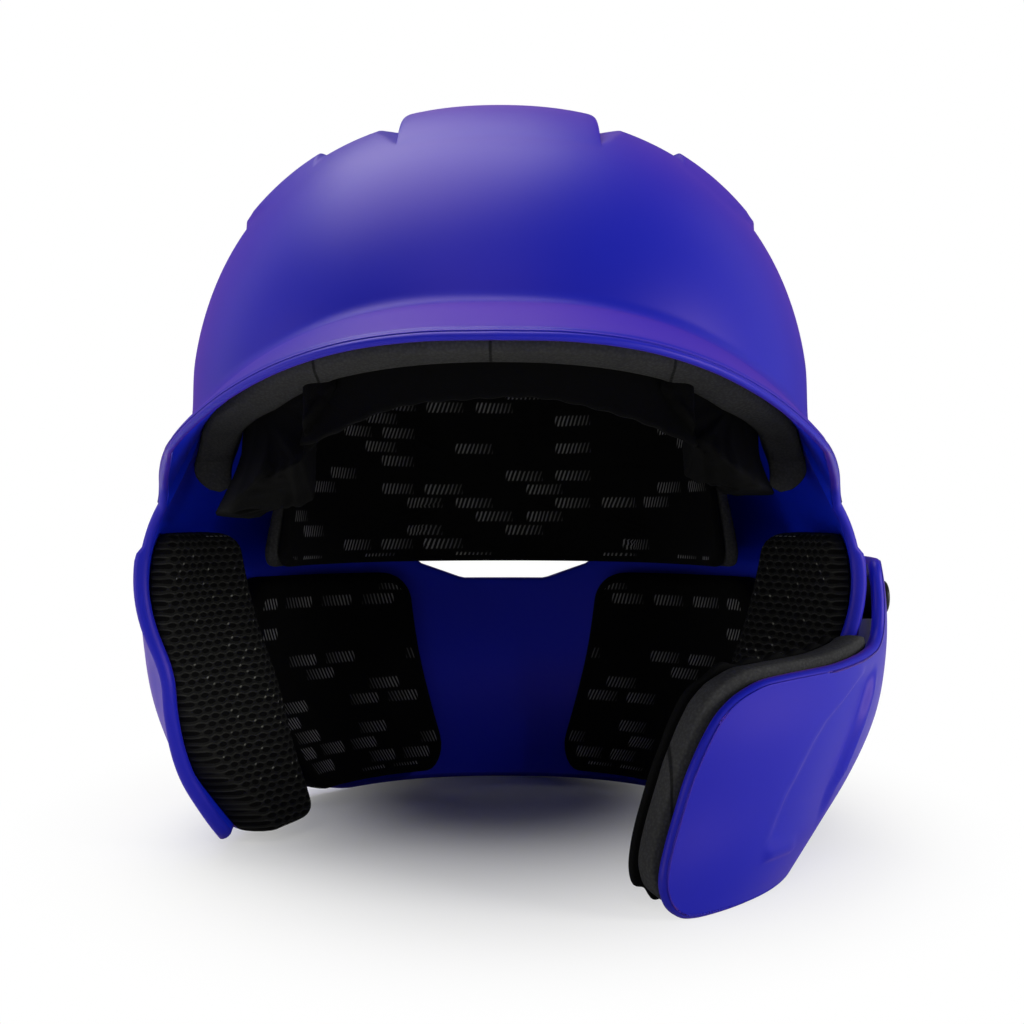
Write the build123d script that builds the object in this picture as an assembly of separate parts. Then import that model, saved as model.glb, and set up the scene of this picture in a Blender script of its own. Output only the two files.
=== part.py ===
from build123d import *
import math
import os

# Batting helmet. Millimetres, +Z up, front of the helmet toward -Y.
# The wearer's left is +X. X = 0 is the middle plane, Y = 0 passes through the ears,
# and Z = 0 is the plane that the helmet stands on.

# ---- driving dimensions ----
WALL = 3.2            # moulded ABS wall
FIT = 0.3             # clearance between glued soft parts and what carries them
SHOULDER_Z = 135.0    # height where the sides turn into the dome
HALF_WIDTH = 101.8    # dome half width at the shoulder
DOME_RISE = 104.2     # crown above the shoulder
DOME_POWER = 2.25     # roundness of the dome in height
PLAN_POWER = 2.2      # roundness of every horizontal section
DOME_MID_Y = 3.0      # widest place of the dome
DOME_FRONT = 125.0    # from there to the forehead
DOME_REAR = 122.0     # from there to the back
SPINE_HALF = 29.0     # half width of the raised crown spine
SPINE_RAISE = 3.0     # spine above the dome
GROOVE_WIDTH = 8.0    # channel beside the spine
GROOVE_DEPTH = 3.0    # channel below the dome
PANEL_INNER = 55.0    # inner edge of the raised panel on each side of the dome
PANEL_RAISE = 1.7
PANEL_LOW_Z = 195.0
PANEL_FRONT_Y = -62.0
PANEL_REAR_Y = 70.0
CROWN_PULL = 4.0      # raised surfaces reach this much less far, so they run out into the dome
CROWN_FRONT_Y = -80.0
CROWN_REAR_Y = 84.0
BRIM_ROOT_Z = 163.4   # top of the brim where it leaves the forehead
BRIM_ROOT_Y = -118.0
BRIM_REACH_Y = -165.0
BRIM_HALF = 101.0
BRIM_TAIL = [(98.0, -77.0), (102.0, -61.0), (105.0, -48.0), (106.0, -36.0), (104.0, -22.0)]
BRIM_SLOPE = 0.296    # drop per millimetre forward
BRIM_ARCH = 7.0       # drop at 44 mm from the middle
BRIM_ARCH_AT = 44.0
BRIM_ARCH_POWER = 2.5
BRIM_BACK_Y = -50.0
SLOT_HALF = 38.0      # rear vent slot
SLOT_FLAT_HALF = 18.0
SLOT_LOW_Z = 81.6
SLOT_HIGH_Z = 106.0
EAR_HOLE_R = 14.0
EAR_HOLE_Y = 24.0
EAR_HOLE_Z = 64.0
HEAD_HALF = 77.0      # head space that the pads leave
HEAD_LENGTH_HALF = 98.0
HEAD_TOP_Z = 220.0
HEAD_MID_Y = -6.0
COVER = 3.0           # fabric cover with its scrim
EAR_PAD_HIGH_Z = 103.0
NAPE_PAD = 14.0
BROW_LOW_Z = 148.4    # lower face of the brow padding in the middle
BROW_DROP = 41.0      # how far that face falls at BROW_DROP_AT from the middle
BROW_DROP_AT = 90.0
BROW_HIGH_Z = 184.0
BROW_END_Z = 109.0    # the strip's two ends stop here
BROW_FOAM = 12.0
LINER_HANG = 8.6      # liner below the foam
TEMPLE_PAD = 9.0
TEMPLE_INNER_X = 57.0
TEMPLE_LOW_Z = 108.0
REAR_PAD_LOW_Z = 90.5
REAR_PAD_HIGH_Z = 150.0
REAR_PAD_HALF = 83.0
NAPE_LOW_Z = 5.0
NAPE_HIGH_Z = 85.0
NAPE_INNER_X = 31.5
NAPE_FRONT_Y = 36.0
CROWN_PAD_LOW_Z = 190.0
GUARD_GAP = 4.0       # rubber spacers between flap and guard
GUARD_WALL = 4.0
GUARD_FOAM = 8.5
GUARD_LINER = 3.0
SCREW_AT = [(-22.0, 82.0), (-4.0, 44.0)]
SHANK_R = 2.0
BORE_R = 2.3
HEAD_R = 5.6
HEAD_PROUD = 2.0
NUT_R = 6.0
NUT_THICK = 2.6

# side sections: height, half width, widest Y, reach to the front, reach to the rear
SIDES = [
    (0.0, 87.5, -5.0, 100.0, 104.0),
    (14.0, 97.0, -6.0, 92.0, 110.0),
    (28.0, 106.0, -8.0, 82.0, 115.0),
    (46.0, 114.0, -10.0, 70.0, 119.0),
    (64.0, 117.5, -10.0, 72.0, 122.0),
    (88.0, 117.0, -8.0, 112.0, 124.0),
    (104.0, 113.5, -4.0, 135.0, 124.5),
    (120.0, 107.0, 0.0, 130.0, 123.5),
]
RING_POINTS = 24

# slanted faces of the ear pads: height, half width between them at their front and at their rear
EAR_FACE = [(-10.0, 69.0, 62.0), (14.0, 84.0, 67.5), (28.0, 91.0, 72.0), (46.0, 97.0, 77.0), (72.0, 102.0, 85.5),
            (112.0, 103.0, 94.0)]
EAR_FACE_FRONT_Y = -40.0
EAR_FACE_REAR_Y = 8.0

DOME_ANGLES = [0, 10, 20, 30, 40, 50, 60, 69, 77, 83, 87]

# guard sections: height and reach to the front
GUARD_SIDES = [(0.0, 108.0), (14.0, 105.0), (28.0, 100.0), (46.0, 97.0), (64.0, 96.0), (88.0, 104.0), (104.0, 120.0)]


def ring(z, half, mid, front, rear):
    """Closed superellipse at height z, with its own reach to the front and to the rear."""
    power = 2.0 / PLAN_POWER
    points = []
    for k in range(RING_POINTS):
        t = math.radians(360.0 * k / RING_POINTS)
        c = math.cos(t)
        s = math.sin(t)
        reach = rear if s > 0 else front
        x = half * math.copysign(abs(c) ** power, c)
        y = mid + reach * math.copysign(abs(s) ** power, s)
        points.append(Vector(x, y, z))
    even = [k / RING_POINTS for k in range(RING_POINTS + 1)]
    return Wire([Edge.make_spline(points, periodic=True, parameters=even)])


def lowered(rows, depth):
    """Sections with one more at depth below the standing plane, in line with the lowest two."""
    if depth == 0:
        return rows
    z0, z1 = rows[0][0], rows[1][0]
    part = depth / (z1 - z0)
    return [tuple(p - (q - p) * part for p, q in zip(rows[0], rows[1]))] + rows


def skin(inset, depth=7.0, rise=0.0, pull=0.0):
    """Body inside the helmet's outer surface moved inward.

    The crown is lifted by rise, and the dome reaches less far to the front and the rear by pull."""
    rows = [(z, a - inset, m, f - inset, r - inset) for z, a, m, f, r in SIDES]
    wires = [ring(*row) for row in lowered(rows, depth)]
    for angle in DOME_ANGLES:
        t = math.radians(angle)
        s = max(math.cos(t), 0.0) ** (2.0 / DOME_POWER)
        z = SHOULDER_Z + (DOME_RISE + rise - inset) * math.sin(t) ** (2.0 / DOME_POWER)
        wires.append(ring(z, (HALF_WIDTH - inset) * s, DOME_MID_Y, (DOME_FRONT - inset - pull) * s,
                          (DOME_REAR - inset - pull) * s))
    return Solid.make_loft(wires)


def head_form(grow, low=60.0):
    """Space for the head: every pad ends on it."""
    wires = []
    half = HEAD_HALF + grow
    long = HEAD_LENGTH_HALF + grow
    shoulder = SHOULDER_Z - 5.0
    for z in (low, 90.0, 115.0):
        wires.append(ring(z, half, HEAD_MID_Y, long, long))
    for angle in DOME_ANGLES:
        t = math.radians(angle)
        s = math.cos(t) ** (2.0 / PLAN_POWER)
        z = shoulder + (HEAD_TOP_Z - shoulder + grow) * math.sin(t) ** (2.0 / PLAN_POWER)
        wires.append(ring(z, half * s, HEAD_MID_Y, long * s, long * s))
    return Solid.make_loft(wires)


def box(x0, x1, y0, y1, z0, z1):
    """Straight block between two corners."""
    block = Box(x1 - x0, y1 - y0, z1 - z0)
    return Pos((x0 + x1) / 2, (y0 + y1) / 2, (z0 + z1) / 2) * block


def closed_face(smooth, straight, plane):
    """Flat face bounded by a spline through smooth points and straight lines back."""
    curve = Spline(*smooth)
    lines = Polyline(*([smooth[-1]] + straight + [smooth[0]]))
    return plane * make_face(curve + lines)


def side_prism(smooth, straight, x0, x1):
    """Side view outline given as (Y, Z) points, carried from X = x0 to X = x1."""
    face = closed_face(smooth, straight, Plane((x0, 0, 0), x_dir=(0, 1, 0), z_dir=(1, 0, 0)))
    return extrude(face, x1 - x0, dir=(1, 0, 0))


def front_prism(smooth, straight, y0, y1):
    """Front view outline given as (X, Z) points, carried from Y = y0 to Y = y1."""
    face = closed_face(smooth, straight, Plane((0, y0, 0), x_dir=(1, 0, 0), z_dir=(0, -1, 0)))
    return extrude(face, y1 - y0, dir=(0, 1, 0))


def rounded_block(points, radius, plane, deep, toward):
    """Polygon outline with rounded corners, carried along one direction."""
    sketch = make_face(Polyline(*points, close=True))
    sketch = fillet(sketch.vertices(), radius)
    return extrude(plane * sketch, deep, dir=toward)


SIDE_LEFT = Plane((60, 0, 0), x_dir=(0, 1, 0), z_dir=(1, 0, 0))
BACK = Plane((0, 20, 0), x_dir=(1, 0, 0), z_dir=(0, -1, 0))


def arch_z(x, y):
    """Height of the brim's top surface."""
    drop = BRIM_ARCH * (abs(x) / BRIM_ARCH_AT) ** BRIM_ARCH_POWER
    return BRIM_ROOT_Z + BRIM_SLOPE * (y - BRIM_ROOT_Y) - drop


ARCH_X = [-120, -108, -96, -84, -70, -55, -38, -19, 0, 19, 38, 55, 70, 84, 96, 108, 120]


def arch_prism(top, bottom, y0, y1):
    """Arched slab that follows the brim, from y0 forward to y1. A None bottom runs to the floor."""
    xs = ARCH_X
    upper = [(x, arch_z(x, y0) + top) for x in xs]
    if bottom is None:
        lower = Polyline(upper[-1], (120, -40), (-120, -40), upper[0])
    else:
        under = [(x, arch_z(x, y0) + bottom) for x in xs]
        lower = Line(upper[-1], under[-1]) + Spline(*under[::-1]) + Line(under[0], upper[0])
    face = Plane((0, y0, 0), x_dir=(1, 0, 0), z_dir=(0, -1, 0)) * make_face(Spline(*upper) + lower)
    reach = y0 - y1
    run = math.hypot(reach, BRIM_SLOPE * reach)
    return extrude(face, run, dir=(0, -1, -BRIM_SLOPE))


def brim_outline():
    """Plan of the brim: half an oval whose ends run back along the sides and die out in them."""
    tail = [(x, y) for x, y in BRIM_TAIL]
    smooth = [(-x, y) for x, y in tail[::-1]]
    for k in range(13):
        t = math.radians(-60.0 + 10.0 * k)
        smooth.append((BRIM_HALF * math.sin(t), BRIM_BACK_Y + (BRIM_REACH_Y - BRIM_BACK_Y) * math.cos(t)))
    smooth += tail
    face = make_face(Spline(*smooth) + Line(smooth[-1], smooth[0]))
    return Pos(0, 0, 60) * extrude(face, 140, dir=(0, 0, 1))


def make_shell(outer, inner):
    """Dome with its spine, channels and panels, the brim, both flaps and every opening."""
    spine = skin(0.0, 0.0, SPINE_RAISE, CROWN_PULL)
    crown = outer + (spine & box(-SPINE_HALF, SPINE_HALF, -110, 110, 180, 260))
    y0, y1, z0 = PANEL_FRONT_Y, PANEL_REAR_Y, PANEL_LOW_Z
    edge = rounded_block([(y0, z0), (y1, z0), (y1 - 12, 260), (y0 + 6, 260)], 5.0,
                         Plane((-130, 0, 0), x_dir=(0, 1, 0), z_dir=(1, 0, 0)), 260, (1, 0, 0))
    panels = (skin(-PANEL_RAISE, 0.0, 0.0, 2 * PANEL_RAISE) & edge) - box(-PANEL_INNER, PANEL_INNER, -200, 200, 0, 300)
    for solid in panels.solids():
        crown = crown + solid
    floor = skin(0.0, 0.0, -GROOVE_DEPTH)
    under = skin(0.0, 0.0, -GROOVE_DEPTH - WALL)
    rib_half = GROOVE_WIDTH + 2 * WALL
    hollow = inner
    for side in (-1, 1):
        lo, hi = sorted((side * SPINE_HALF, side * (SPINE_HALF + GROOVE_WIDTH)))
        crown = crown - (box(lo, hi, CROWN_FRONT_Y, CROWN_REAR_Y, 180, 260) - floor)
        lo, hi = sorted((side * (SPINE_HALF - WALL), side * (SPINE_HALF - WALL + rib_half)))
        hollow = hollow - (box(lo, hi, CROWN_FRONT_Y - WALL, CROWN_REAR_Y + WALL, 180, 260) - under)
    plan = brim_outline()
    brim = arch_prism(0.0, -WALL, -10.0, -180.0) & plan
    root = arch_prism(0.0, None, -10.0, -100.0) & plan & box(-120, 120, -100, -10, 100, 160)
    shell = (crown + brim + root) - hollow
    opening = side_prism(
        [(-25, 0), (-32, 9), (-40, 27), (-44.5, 48), (-46, 70), (-46, 90), (-47, 104), (-50, 112),
         (-56, 118.5), (-66, 123), (-78, 127.5), (-92, 135), (-105, 145)],
        [(-105, 190), (-200, 190), (-200, -20), (-25, -20)], -150, 150)
    shell = shell - (opening & arch_prism(-WALL, None, -10.0, -190.0))
    behind_ear = side_prism([(22, 0), (34, 3), (46, 4), (58, 3), (70, 0)], [(70, -20), (22, -20)], -150, 150)
    shell = shell - behind_ear
    ear_hole = Pos(0, EAR_HOLE_Y, EAR_HOLE_Z) * Rot(0, 90, 0) * Cylinder(EAR_HOLE_R, 300)
    shell = shell - ear_hole
    slot = rounded_block([(-SLOT_HALF, SLOT_HIGH_Z), (SLOT_HALF, SLOT_HIGH_Z), (SLOT_HALF, SLOT_LOW_Z + 7),
                          (SLOT_FLAT_HALF, SLOT_LOW_Z), (-SLOT_FLAT_HALF, SLOT_LOW_Z),
                          (-SLOT_HALF, SLOT_LOW_Z + 7)], 2.5, BACK, 130, (0, 1, 0))
    return shell - slot


def brow_block(hang, y0, y1):
    """Room above the arched lower edge of the brow padding, up to its straight upper edge."""
    low = [(x, BROW_LOW_Z - hang - BROW_DROP * (abs(x) / BROW_DROP_AT) ** 2.3) for x in ARCH_X]
    return front_prism(low, [(120, BROW_HIGH_Z), (-120, BROW_HIGH_Z)], y0, y1)


def make_brow(bed, head):
    """Grey foam strip, the fabric liner inside it in the middle, and two temple pads at its ends."""
    line = [(-125, 151.5), (-110, 149.5), (-95, 145.5), (-77, 138.6), (-47, 133), (-29, 126), (-20, 109)]
    above = side_prism(line, [(-20, 190), (-140, 190), (-140, 151.5)], -130, 130)
    ends = box(-200, 200, -200, 0, BROW_END_Z, BROW_HIGH_Z)
    foam = between(bed, skin(WALL + FIT + BROW_FOAM), above & ends)
    inside = skin(WALL + 2 * FIT + BROW_FOAM)
    middle = brow_block(LINER_HANG, -140, -40) & box(1 - TEMPLE_INNER_X, TEMPLE_INNER_X - 1, -140, -40, 60, 240)
    liner = between(inside, head, middle)
    deep = head_form(COVER - TEMPLE_PAD, 50.0)
    sides = []
    for side in (-1, 1):
        lo, hi = sorted((side * TEMPLE_INNER_X, side * 120.0))
        sides.append(between(inside, deep, box(lo, hi, -96, -24, TEMPLE_LOW_Z, 172)))
    return foam, liner, sides


def make_crown_pads(bed, head):
    """Three foam pads between the crown and the head, clear of the channels."""
    side_in = SPINE_HALF + GROOVE_WIDTH + WALL + 3.0
    pads = []
    for lo, hi in ((-SPINE_HALF + WALL + 2.5, SPINE_HALF - WALL - 2.5), (side_in, 72.0), (-72.0, -side_in)):
        plan = rounded_block([(lo, -46), (hi, -46), (hi, 56), (lo, 56)], 6.0,
                             Plane((0, 0, CROWN_PAD_LOW_Z)), 60, (0, 0, 1))
        pads.append(between(bed, head, plan))
    return pads


def make_rear_pad(bed, head_gap, head_cover, head):
    """Foam core against the back of the shell and the knit cover on its face."""
    corners = [(-REAR_PAD_HALF, REAR_PAD_HIGH_Z), (REAR_PAD_HALF, REAR_PAD_HIGH_Z),
               (REAR_PAD_HALF, REAR_PAD_LOW_Z), (-REAR_PAD_HALF, REAR_PAD_LOW_Z)]
    plan = rounded_block(corners, 14.0, BACK, 130, (0, 1, 0))
    return between(bed, head_gap, plan), between(head_cover, head, plan)


def wrapped_pad(bed, face, inside, core_face, block, core_block):
    """Cover with a wall all round, open toward the shell, and the foam core inside it."""
    whole = between(bed, face, block)
    hollow = between(skin(WALL - 1.0), inside, core_block[0])
    core = between(bed, core_face, core_block[1])
    return whole - hollow, core


def ear_outline(inset, side):
    """Side view outline of an ear pad."""
    low = 4.0 + inset
    high = EAR_PAD_HIGH_Z - inset
    corners = [(-19 + inset * 0.6, low), (-36 + inset, 32), (-42 + inset, 68), (-40.5 + inset, high),
               (5 - inset, high), (8 - inset, 55), (5 - inset, low)]
    plane = SIDE_LEFT if side > 0 else Plane((-130, 0, 0), x_dir=(0, 1, 0), z_dir=(1, 0, 0))
    return rounded_block(corners, 7.0 - inset * 0.9, plane, 70, (1, 0, 0))


def ear_inside(out, side):
    """Space on the head's side of an ear pad's slanted face, the face moved outward by out."""
    wires = []
    for z, front, rear in EAR_FACE:
        lean = (rear - front) / (EAR_FACE_REAR_Y - EAR_FACE_FRONT_Y)
        ahead = front - lean * 20.0 + out
        behind = rear + lean * 20.0 + out
        corners = [(0.0, EAR_FACE_FRONT_Y - 20.0), (ahead, EAR_FACE_FRONT_Y - 20.0),
                   (behind, EAR_FACE_REAR_Y + 20.0), (0.0, EAR_FACE_REAR_Y + 20.0)]
        wires.append(Wire.make_polygon([Vector(side * x, y, z) for x, y in corners[::side]], close=True))
    return Solid.make_loft(wires, ruled=True)


def nape_outline(inset, side):
    """Pad outline seen from behind, cut off at its front."""
    x0 = side * (NAPE_INNER_X + inset)
    x1 = side * 130.0
    z0 = NAPE_LOW_Z + inset
    z1 = NAPE_HIGH_Z - inset
    rear = rounded_block([(x0, z0), (x1, z0), (x1, z1), (x0, z1)], 14.0 - inset, BACK, 130, (0, 1, 0))
    return rear & box(-200, 200, NAPE_FRONT_Y + inset, 200, -50, 200)


def guard_skin(inset, depth=7.0, high=0.0):
    """Body inside the guard's outer surface moved inward, from depth below the floor to above the flap."""
    out = GUARD_GAP + GUARD_WALL - inset
    rows = []
    for side, guard in zip(SIDES, GUARD_SIDES):
        rows.append((side[0], side[1] + out, side[2], guard[1] - inset, side[4] + out))
    if high:
        top = rows[-1]
        rows.append((top[0] + high, top[1] - 0.2 * high, top[2], top[3], top[4]))
    return Solid.make_loft([ring(*row) for row in lowered(rows, depth)])


def between(outside, inside, room):
    """Part of the layer between two bodies that lies in the room given."""
    return (outside & room) - inside


def guard_outline(grow_top, grow_tip, low, rear):
    """Side view outline of the guard met with the front view outline of its tip."""
    top = [(-45, 92), (-46, 80), (-48.5, 73), (-54, 69), (-63, 67), (-75, 65), (-90, 63), (-125, 60)]
    top = [(y, z + grow_top) for y, z in top]
    high = 95 + grow_top
    back = [(-125, low), (-24, low), (-20, 8), (-6, 28), (3, 60), (3, high - 3), (0, high), (-42, high)]
    seen_side = side_prism(top, back, 20, 160)
    if rear is not None:
        seen_side = seen_side & box(0, 200, -200, rear, -50, 200)
    tip = [(92, 76), (83, 66.6), (73, 63.4), (65, 58.8), (59.7, 53.7), (55.7, 46.8), (51.7, 38), (48.8, 29),
           (46.5, 22), (44.6, 15), (44, 9.5), (45.8, 4), (50, 0)]
    tip = [(x - grow_tip, z + grow_top) for x, z in tip]
    seen_front = front_prism(tip, [(50 - grow_tip, low - 10), (150, low - 10), (150, 120), (92, 120)], -140, 60)
    return seen_side & seen_front


def side_x(y, z, inset, extra=0.0):
    """Half width of the outer surface at one place on the side, moved inward by inset."""
    k = max(i for i in range(len(SIDES) - 1) if SIDES[i][0] <= z)
    lo = SIDES[k]
    hi = SIDES[k + 1]
    part = (z - lo[0]) / (hi[0] - lo[0])
    row = [p + (q - p) * part for p, q in zip(lo, hi)]
    if extra:
        row[3] = GUARD_SIDES[k][1] + (GUARD_SIDES[k + 1][1] - GUARD_SIDES[k][1]) * part - extra
    reach = row[4] if y > row[2] else row[3]
    ratio = abs(y - row[2]) / (reach - inset)
    return (row[1] + extra - inset) * (1.0 - ratio ** PLAN_POWER) ** (1.0 / PLAN_POWER)


def bar(y, z, x0, x1, radius):
    """Round bar along X at one screw place."""
    return Pos((x0 + x1) / 2, y, z) * Rot(0, 90, 0) * Cylinder(radius, x1 - x0)


def cross_slot(y, z, x0, x1):
    """Cross recess in a screw head."""
    long = Pos((x0 + x1) / 2, y, z) * Box(x1 - x0, 5.0, 1.1)
    return long + Pos((x0 + x1) / 2, y, z) * Box(x1 - x0, 1.1, 5.0)


def make_guard(shell):
    """Jaw guard with its foam, liner, screws, spacers and nuts, and the shell with its bores."""
    guard = between(guard_skin(0.0), guard_skin(GUARD_WALL, 9.0, 3.0), guard_outline(0.0, 0.0, 0.0, None))
    foam_in = GUARD_WALL + FIT
    foam_out = foam_in + GUARD_FOAM
    room = guard_outline(3.5, 1.5, 1.5, -52.0)
    foam = between(guard_skin(foam_in), guard_skin(foam_out, 9.0, 3.0), room)
    liner_in = foam_out + FIT
    liner = between(guard_skin(liner_in), guard_skin(liner_in + GUARD_LINER, 9.0, 3.0), room)
    screws = []
    spacers = []
    nuts = []
    pockets = []
    for y, z in SCREW_AT:
        outside = side_x(y, z, 0.0, GUARD_GAP + GUARD_WALL)
        seat = outside - 1.0
        bed = side_x(y, z, WALL) + 0.4
        guard = guard - bar(y, z, 60, 200, BORE_R) - bar(y, z, seat, 200, HEAD_R + FIT)
        shell = shell - bar(y, z, 60, 200, BORE_R) - bar(y, z, bed - 12, bed, NUT_R + FIT)
        head = fillet(bar(y, z, seat + 0.05, outside + HEAD_PROUD, HEAD_R).edges().group_by(Axis.X)[-1], 1.2)
        head = head - cross_slot(y, z, outside + HEAD_PROUD - 1.3, outside + HEAD_PROUD + 1)
        screws.append(head + bar(y, z, bed - NUT_THICK - 1.0, seat + 1.0, SHANK_R))
        spacer = bar(y, z, 60, 200, 7.0) - bar(y, z, 60, 200, BORE_R)
        spacers.append(between(guard_skin(GUARD_WALL + 0.05), skin(-0.05), spacer))
        nuts.append(bar(y, z, bed - 0.05 - NUT_THICK, bed - 0.05, NUT_R) - bar(y, z, 60, 200, SHANK_R + 0.05))
        pockets.append(bar(y, z, bed - NUT_THICK - 2.5, 160, NUT_R + 1.0))
    return shell, guard, foam, liner, screws, spacers, nuts, pockets


def save(name, shape):
    """Write one node."""
    if isinstance(shape, list):
        solids = []
        for item in shape:
            solids.extend(item.solids())
        shape = Compound(solids)
    export_step(shape, "parts/" + name + ".step")


def main():
    os.makedirs("parts", exist_ok=True)
    inner = skin(WALL)
    shell = make_shell(skin(0.0, 0.0), inner)
    shell, guard, guard_foam, guard_liner, screws, spacers, nuts, pockets = make_guard(shell)
    save("shell", shell)
    save("jaw_guard", guard)
    save("guard_foam", guard_foam)
    save("guard_liner", guard_liner)
    save("guard_screws", screws)
    save("guard_spacers", spacers)
    save("guard_nuts", nuts)
    bed = skin(WALL + FIT)
    head = head_form(0.0, 55.0)
    head_cover = head_form(COVER)
    head_gap = head_form(COVER + FIT)
    foam, liner, temples = make_brow(bed, head)
    save("brow_foam", foam)
    save("brow_liner", liner)
    save("temple_pad_right", temples[0])
    save("temple_pad_left", temples[1])
    for name, pad in zip(("centre", "left", "right"), make_crown_pads(bed, head)):
        save("crown_pad_" + name, pad)
    core, cover = make_rear_pad(bed, head_gap, head_cover, head)
    save("rear_pad_core", core)
    save("rear_pad_cover", cover)
    bottom = WALL + FIT
    nape_faces = [skin(bottom + NAPE_PAD - d, 9.0) for d in (0.0, COVER, COVER + FIT)]
    for side, word in ((1, "left"), (-1, "right")):
        room = [ear_outline(COVER, side), ear_outline(COVER + FIT, side)]
        faces = [ear_inside(d, side) for d in (0.0, COVER, COVER + FIT)]
        cover, core = wrapped_pad(bed, faces[0], faces[1], faces[2], ear_outline(0.0, side), room)
        if side > 0:
            for pocket in pockets:
                core = core - pocket
                cover = cover - pocket
        save("ear_pad_" + word + "_cover", cover)
        save("ear_pad_" + word + "_core", core)
        room = [nape_outline(COVER, side), nape_outline(COVER + FIT, side)]
        cover, core = wrapped_pad(bed, nape_faces[0], nape_faces[1], nape_faces[2], nape_outline(0.0, side), room)
        save("nape_pad_" + word + "_cover", cover)
        save("nape_pad_" + word + "_core", core)


main()
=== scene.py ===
# Batting helmet. Metres in the scene; lengths in the formulas below are in millimetres.
# +Z is up, the front of the helmet faces -Y, and the wearer's left is +X.
import math

import bmesh
import bpy
import numpy as np
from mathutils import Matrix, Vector


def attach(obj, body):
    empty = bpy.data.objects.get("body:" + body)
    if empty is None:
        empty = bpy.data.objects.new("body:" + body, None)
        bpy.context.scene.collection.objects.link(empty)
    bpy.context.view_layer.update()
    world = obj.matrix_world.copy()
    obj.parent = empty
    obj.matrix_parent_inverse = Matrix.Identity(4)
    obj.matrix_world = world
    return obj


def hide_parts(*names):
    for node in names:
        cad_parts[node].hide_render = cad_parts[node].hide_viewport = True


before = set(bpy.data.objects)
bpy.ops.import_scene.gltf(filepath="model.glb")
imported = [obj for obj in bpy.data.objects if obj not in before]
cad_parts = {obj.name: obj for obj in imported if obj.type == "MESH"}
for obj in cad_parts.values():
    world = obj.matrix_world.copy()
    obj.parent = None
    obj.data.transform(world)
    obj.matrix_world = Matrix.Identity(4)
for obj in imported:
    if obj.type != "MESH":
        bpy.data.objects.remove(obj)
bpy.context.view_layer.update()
MM = 0.001
scene = bpy.context.scene


# ---------------------------------------------------------------- camera, floor and light
# A level view from close to the front. The floor is pale matt card that fades into a white
# backdrop, under one large soft light from behind and above and a few small ones at the sides.
def linear(code):
    """Colour written as an sRGB hex code, turned to the linear values that shaders take."""
    parts = [int(code[i:i + 2], 16) / 255 for i in (1, 3, 5)]
    return [p / 12.92 if p <= 0.04045 else ((p + 0.055) / 1.055) ** 2.4 for p in parts] + [1.0]


def add(tree, kind, settings=None, sockets=None):
    """One node with its own settings, and its inputs set to a value or joined to an output.
    A node given for an input stands for its first output."""
    made = tree.nodes.new(kind)
    for name, value in (settings or {}).items():
        setattr(made, name, value)
    for name, value in (sockets or {}).items():
        if isinstance(value, bpy.types.Node):
            value = value.outputs[0]
        if isinstance(value, bpy.types.NodeSocket):
            tree.links.new(value, made.inputs[name])
        else:
            made.inputs[name].default_value = value
    return made


def new_material(name):
    """Empty material and its node tree."""
    made = bpy.data.materials.new(name)
    made.use_nodes = True
    made.node_tree.nodes.clear()
    return made, made.node_tree


camera_data = bpy.data.cameras.new("camera")
camera_data.sensor_width = 36.0
camera_data.lens = 45.9
camera_data.shift_y = 0.005859375
camera = bpy.data.objects.new("camera", camera_data)
camera.location = (0.00375, -0.450, 0.108)
camera.rotation_euler = (math.radians(90), 0, 0)
scene.collection.objects.link(camera)
scene.camera = camera
scene.view_settings.view_transform = "Standard"

FLOOR_REACH, FLOOR_DROP = 6.0, -0.0002
FADE_START, FADE_END = 0.035, 0.235
floor_mesh = bpy.data.meshes.new("floor")
floor_mesh.from_pydata([(-FLOOR_REACH, -FLOOR_REACH, 0), (FLOOR_REACH, -FLOOR_REACH, 0),
                        (FLOOR_REACH, FLOOR_REACH, 0), (-FLOOR_REACH, FLOOR_REACH, 0)], [], [(0, 1, 2, 3)])
floor = bpy.data.objects.new("floor", floor_mesh)
floor.location.z = FLOOR_DROP
scene.collection.objects.link(floor)
# Matt uncoated card: no gloss and a faint warm mottle. To the camera it is mixed with a white glow that
# starts a little way out from the helmet and is plain white farther off: painted light, which also lightens
# the helmet's cast shadow on it.
RGBA = {"data_type": "RGBA"}
floor_look, tree = new_material("card_uncoated_matt")
where = add(tree, "ShaderNodeTexCoord").outputs["Object"]
spread = add(tree, "ShaderNodeTexNoise", sockets={"Vector": where, "Scale": 3.0, "Detail": 2.0})
tone = add(tree, "ShaderNodeMix", RGBA, {
    0: spread, 6: linear("#F6F5EE"), 7: linear("#FAF9F3")}).outputs[2]
pale = add(tree, "ShaderNodeBsdfDiffuse", sockets={"Color": tone})
glow = add(tree, "ShaderNodeEmission", sockets={"Color": linear("#FFFFFF"), "Strength": 1.0})
from_helmet = add(tree, "ShaderNodeVectorMath", {"operation": "SUBTRACT"}, {0: where, 1: (0.0, 0.06, 0.0)})
oval = add(tree, "ShaderNodeVectorMath", {"operation": "MULTIPLY"}, {0: from_helmet, 1: (1.25, 1.0, 1.0)})
far = add(tree, "ShaderNodeVectorMath", {"operation": "LENGTH"}, {0: oval}).outputs["Value"]
fade = add(tree, "ShaderNodeMapRange", {"interpolation_type": "SMOOTHSTEP"}, {
    "Value": far, "From Min": FADE_START, "From Max": FADE_END})
seen = add(tree, "ShaderNodeLightPath").outputs["Is Camera Ray"]
# Share of the painted white glow, seen by the camera only: it lightens the floor and the helmet's shadow from
# near the helmet outward.
painted_glow_share = add(tree, "ShaderNodeMath", {"operation": "MULTIPLY"}, {0: fade, 1: seen})
choice = add(tree, "ShaderNodeMixShader", sockets={0: painted_glow_share, 1: pale, 2: glow})
add(tree, "ShaderNodeOutputMaterial", sockets={"Surface": choice})
floor.data.materials.append(floor_look)

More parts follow.
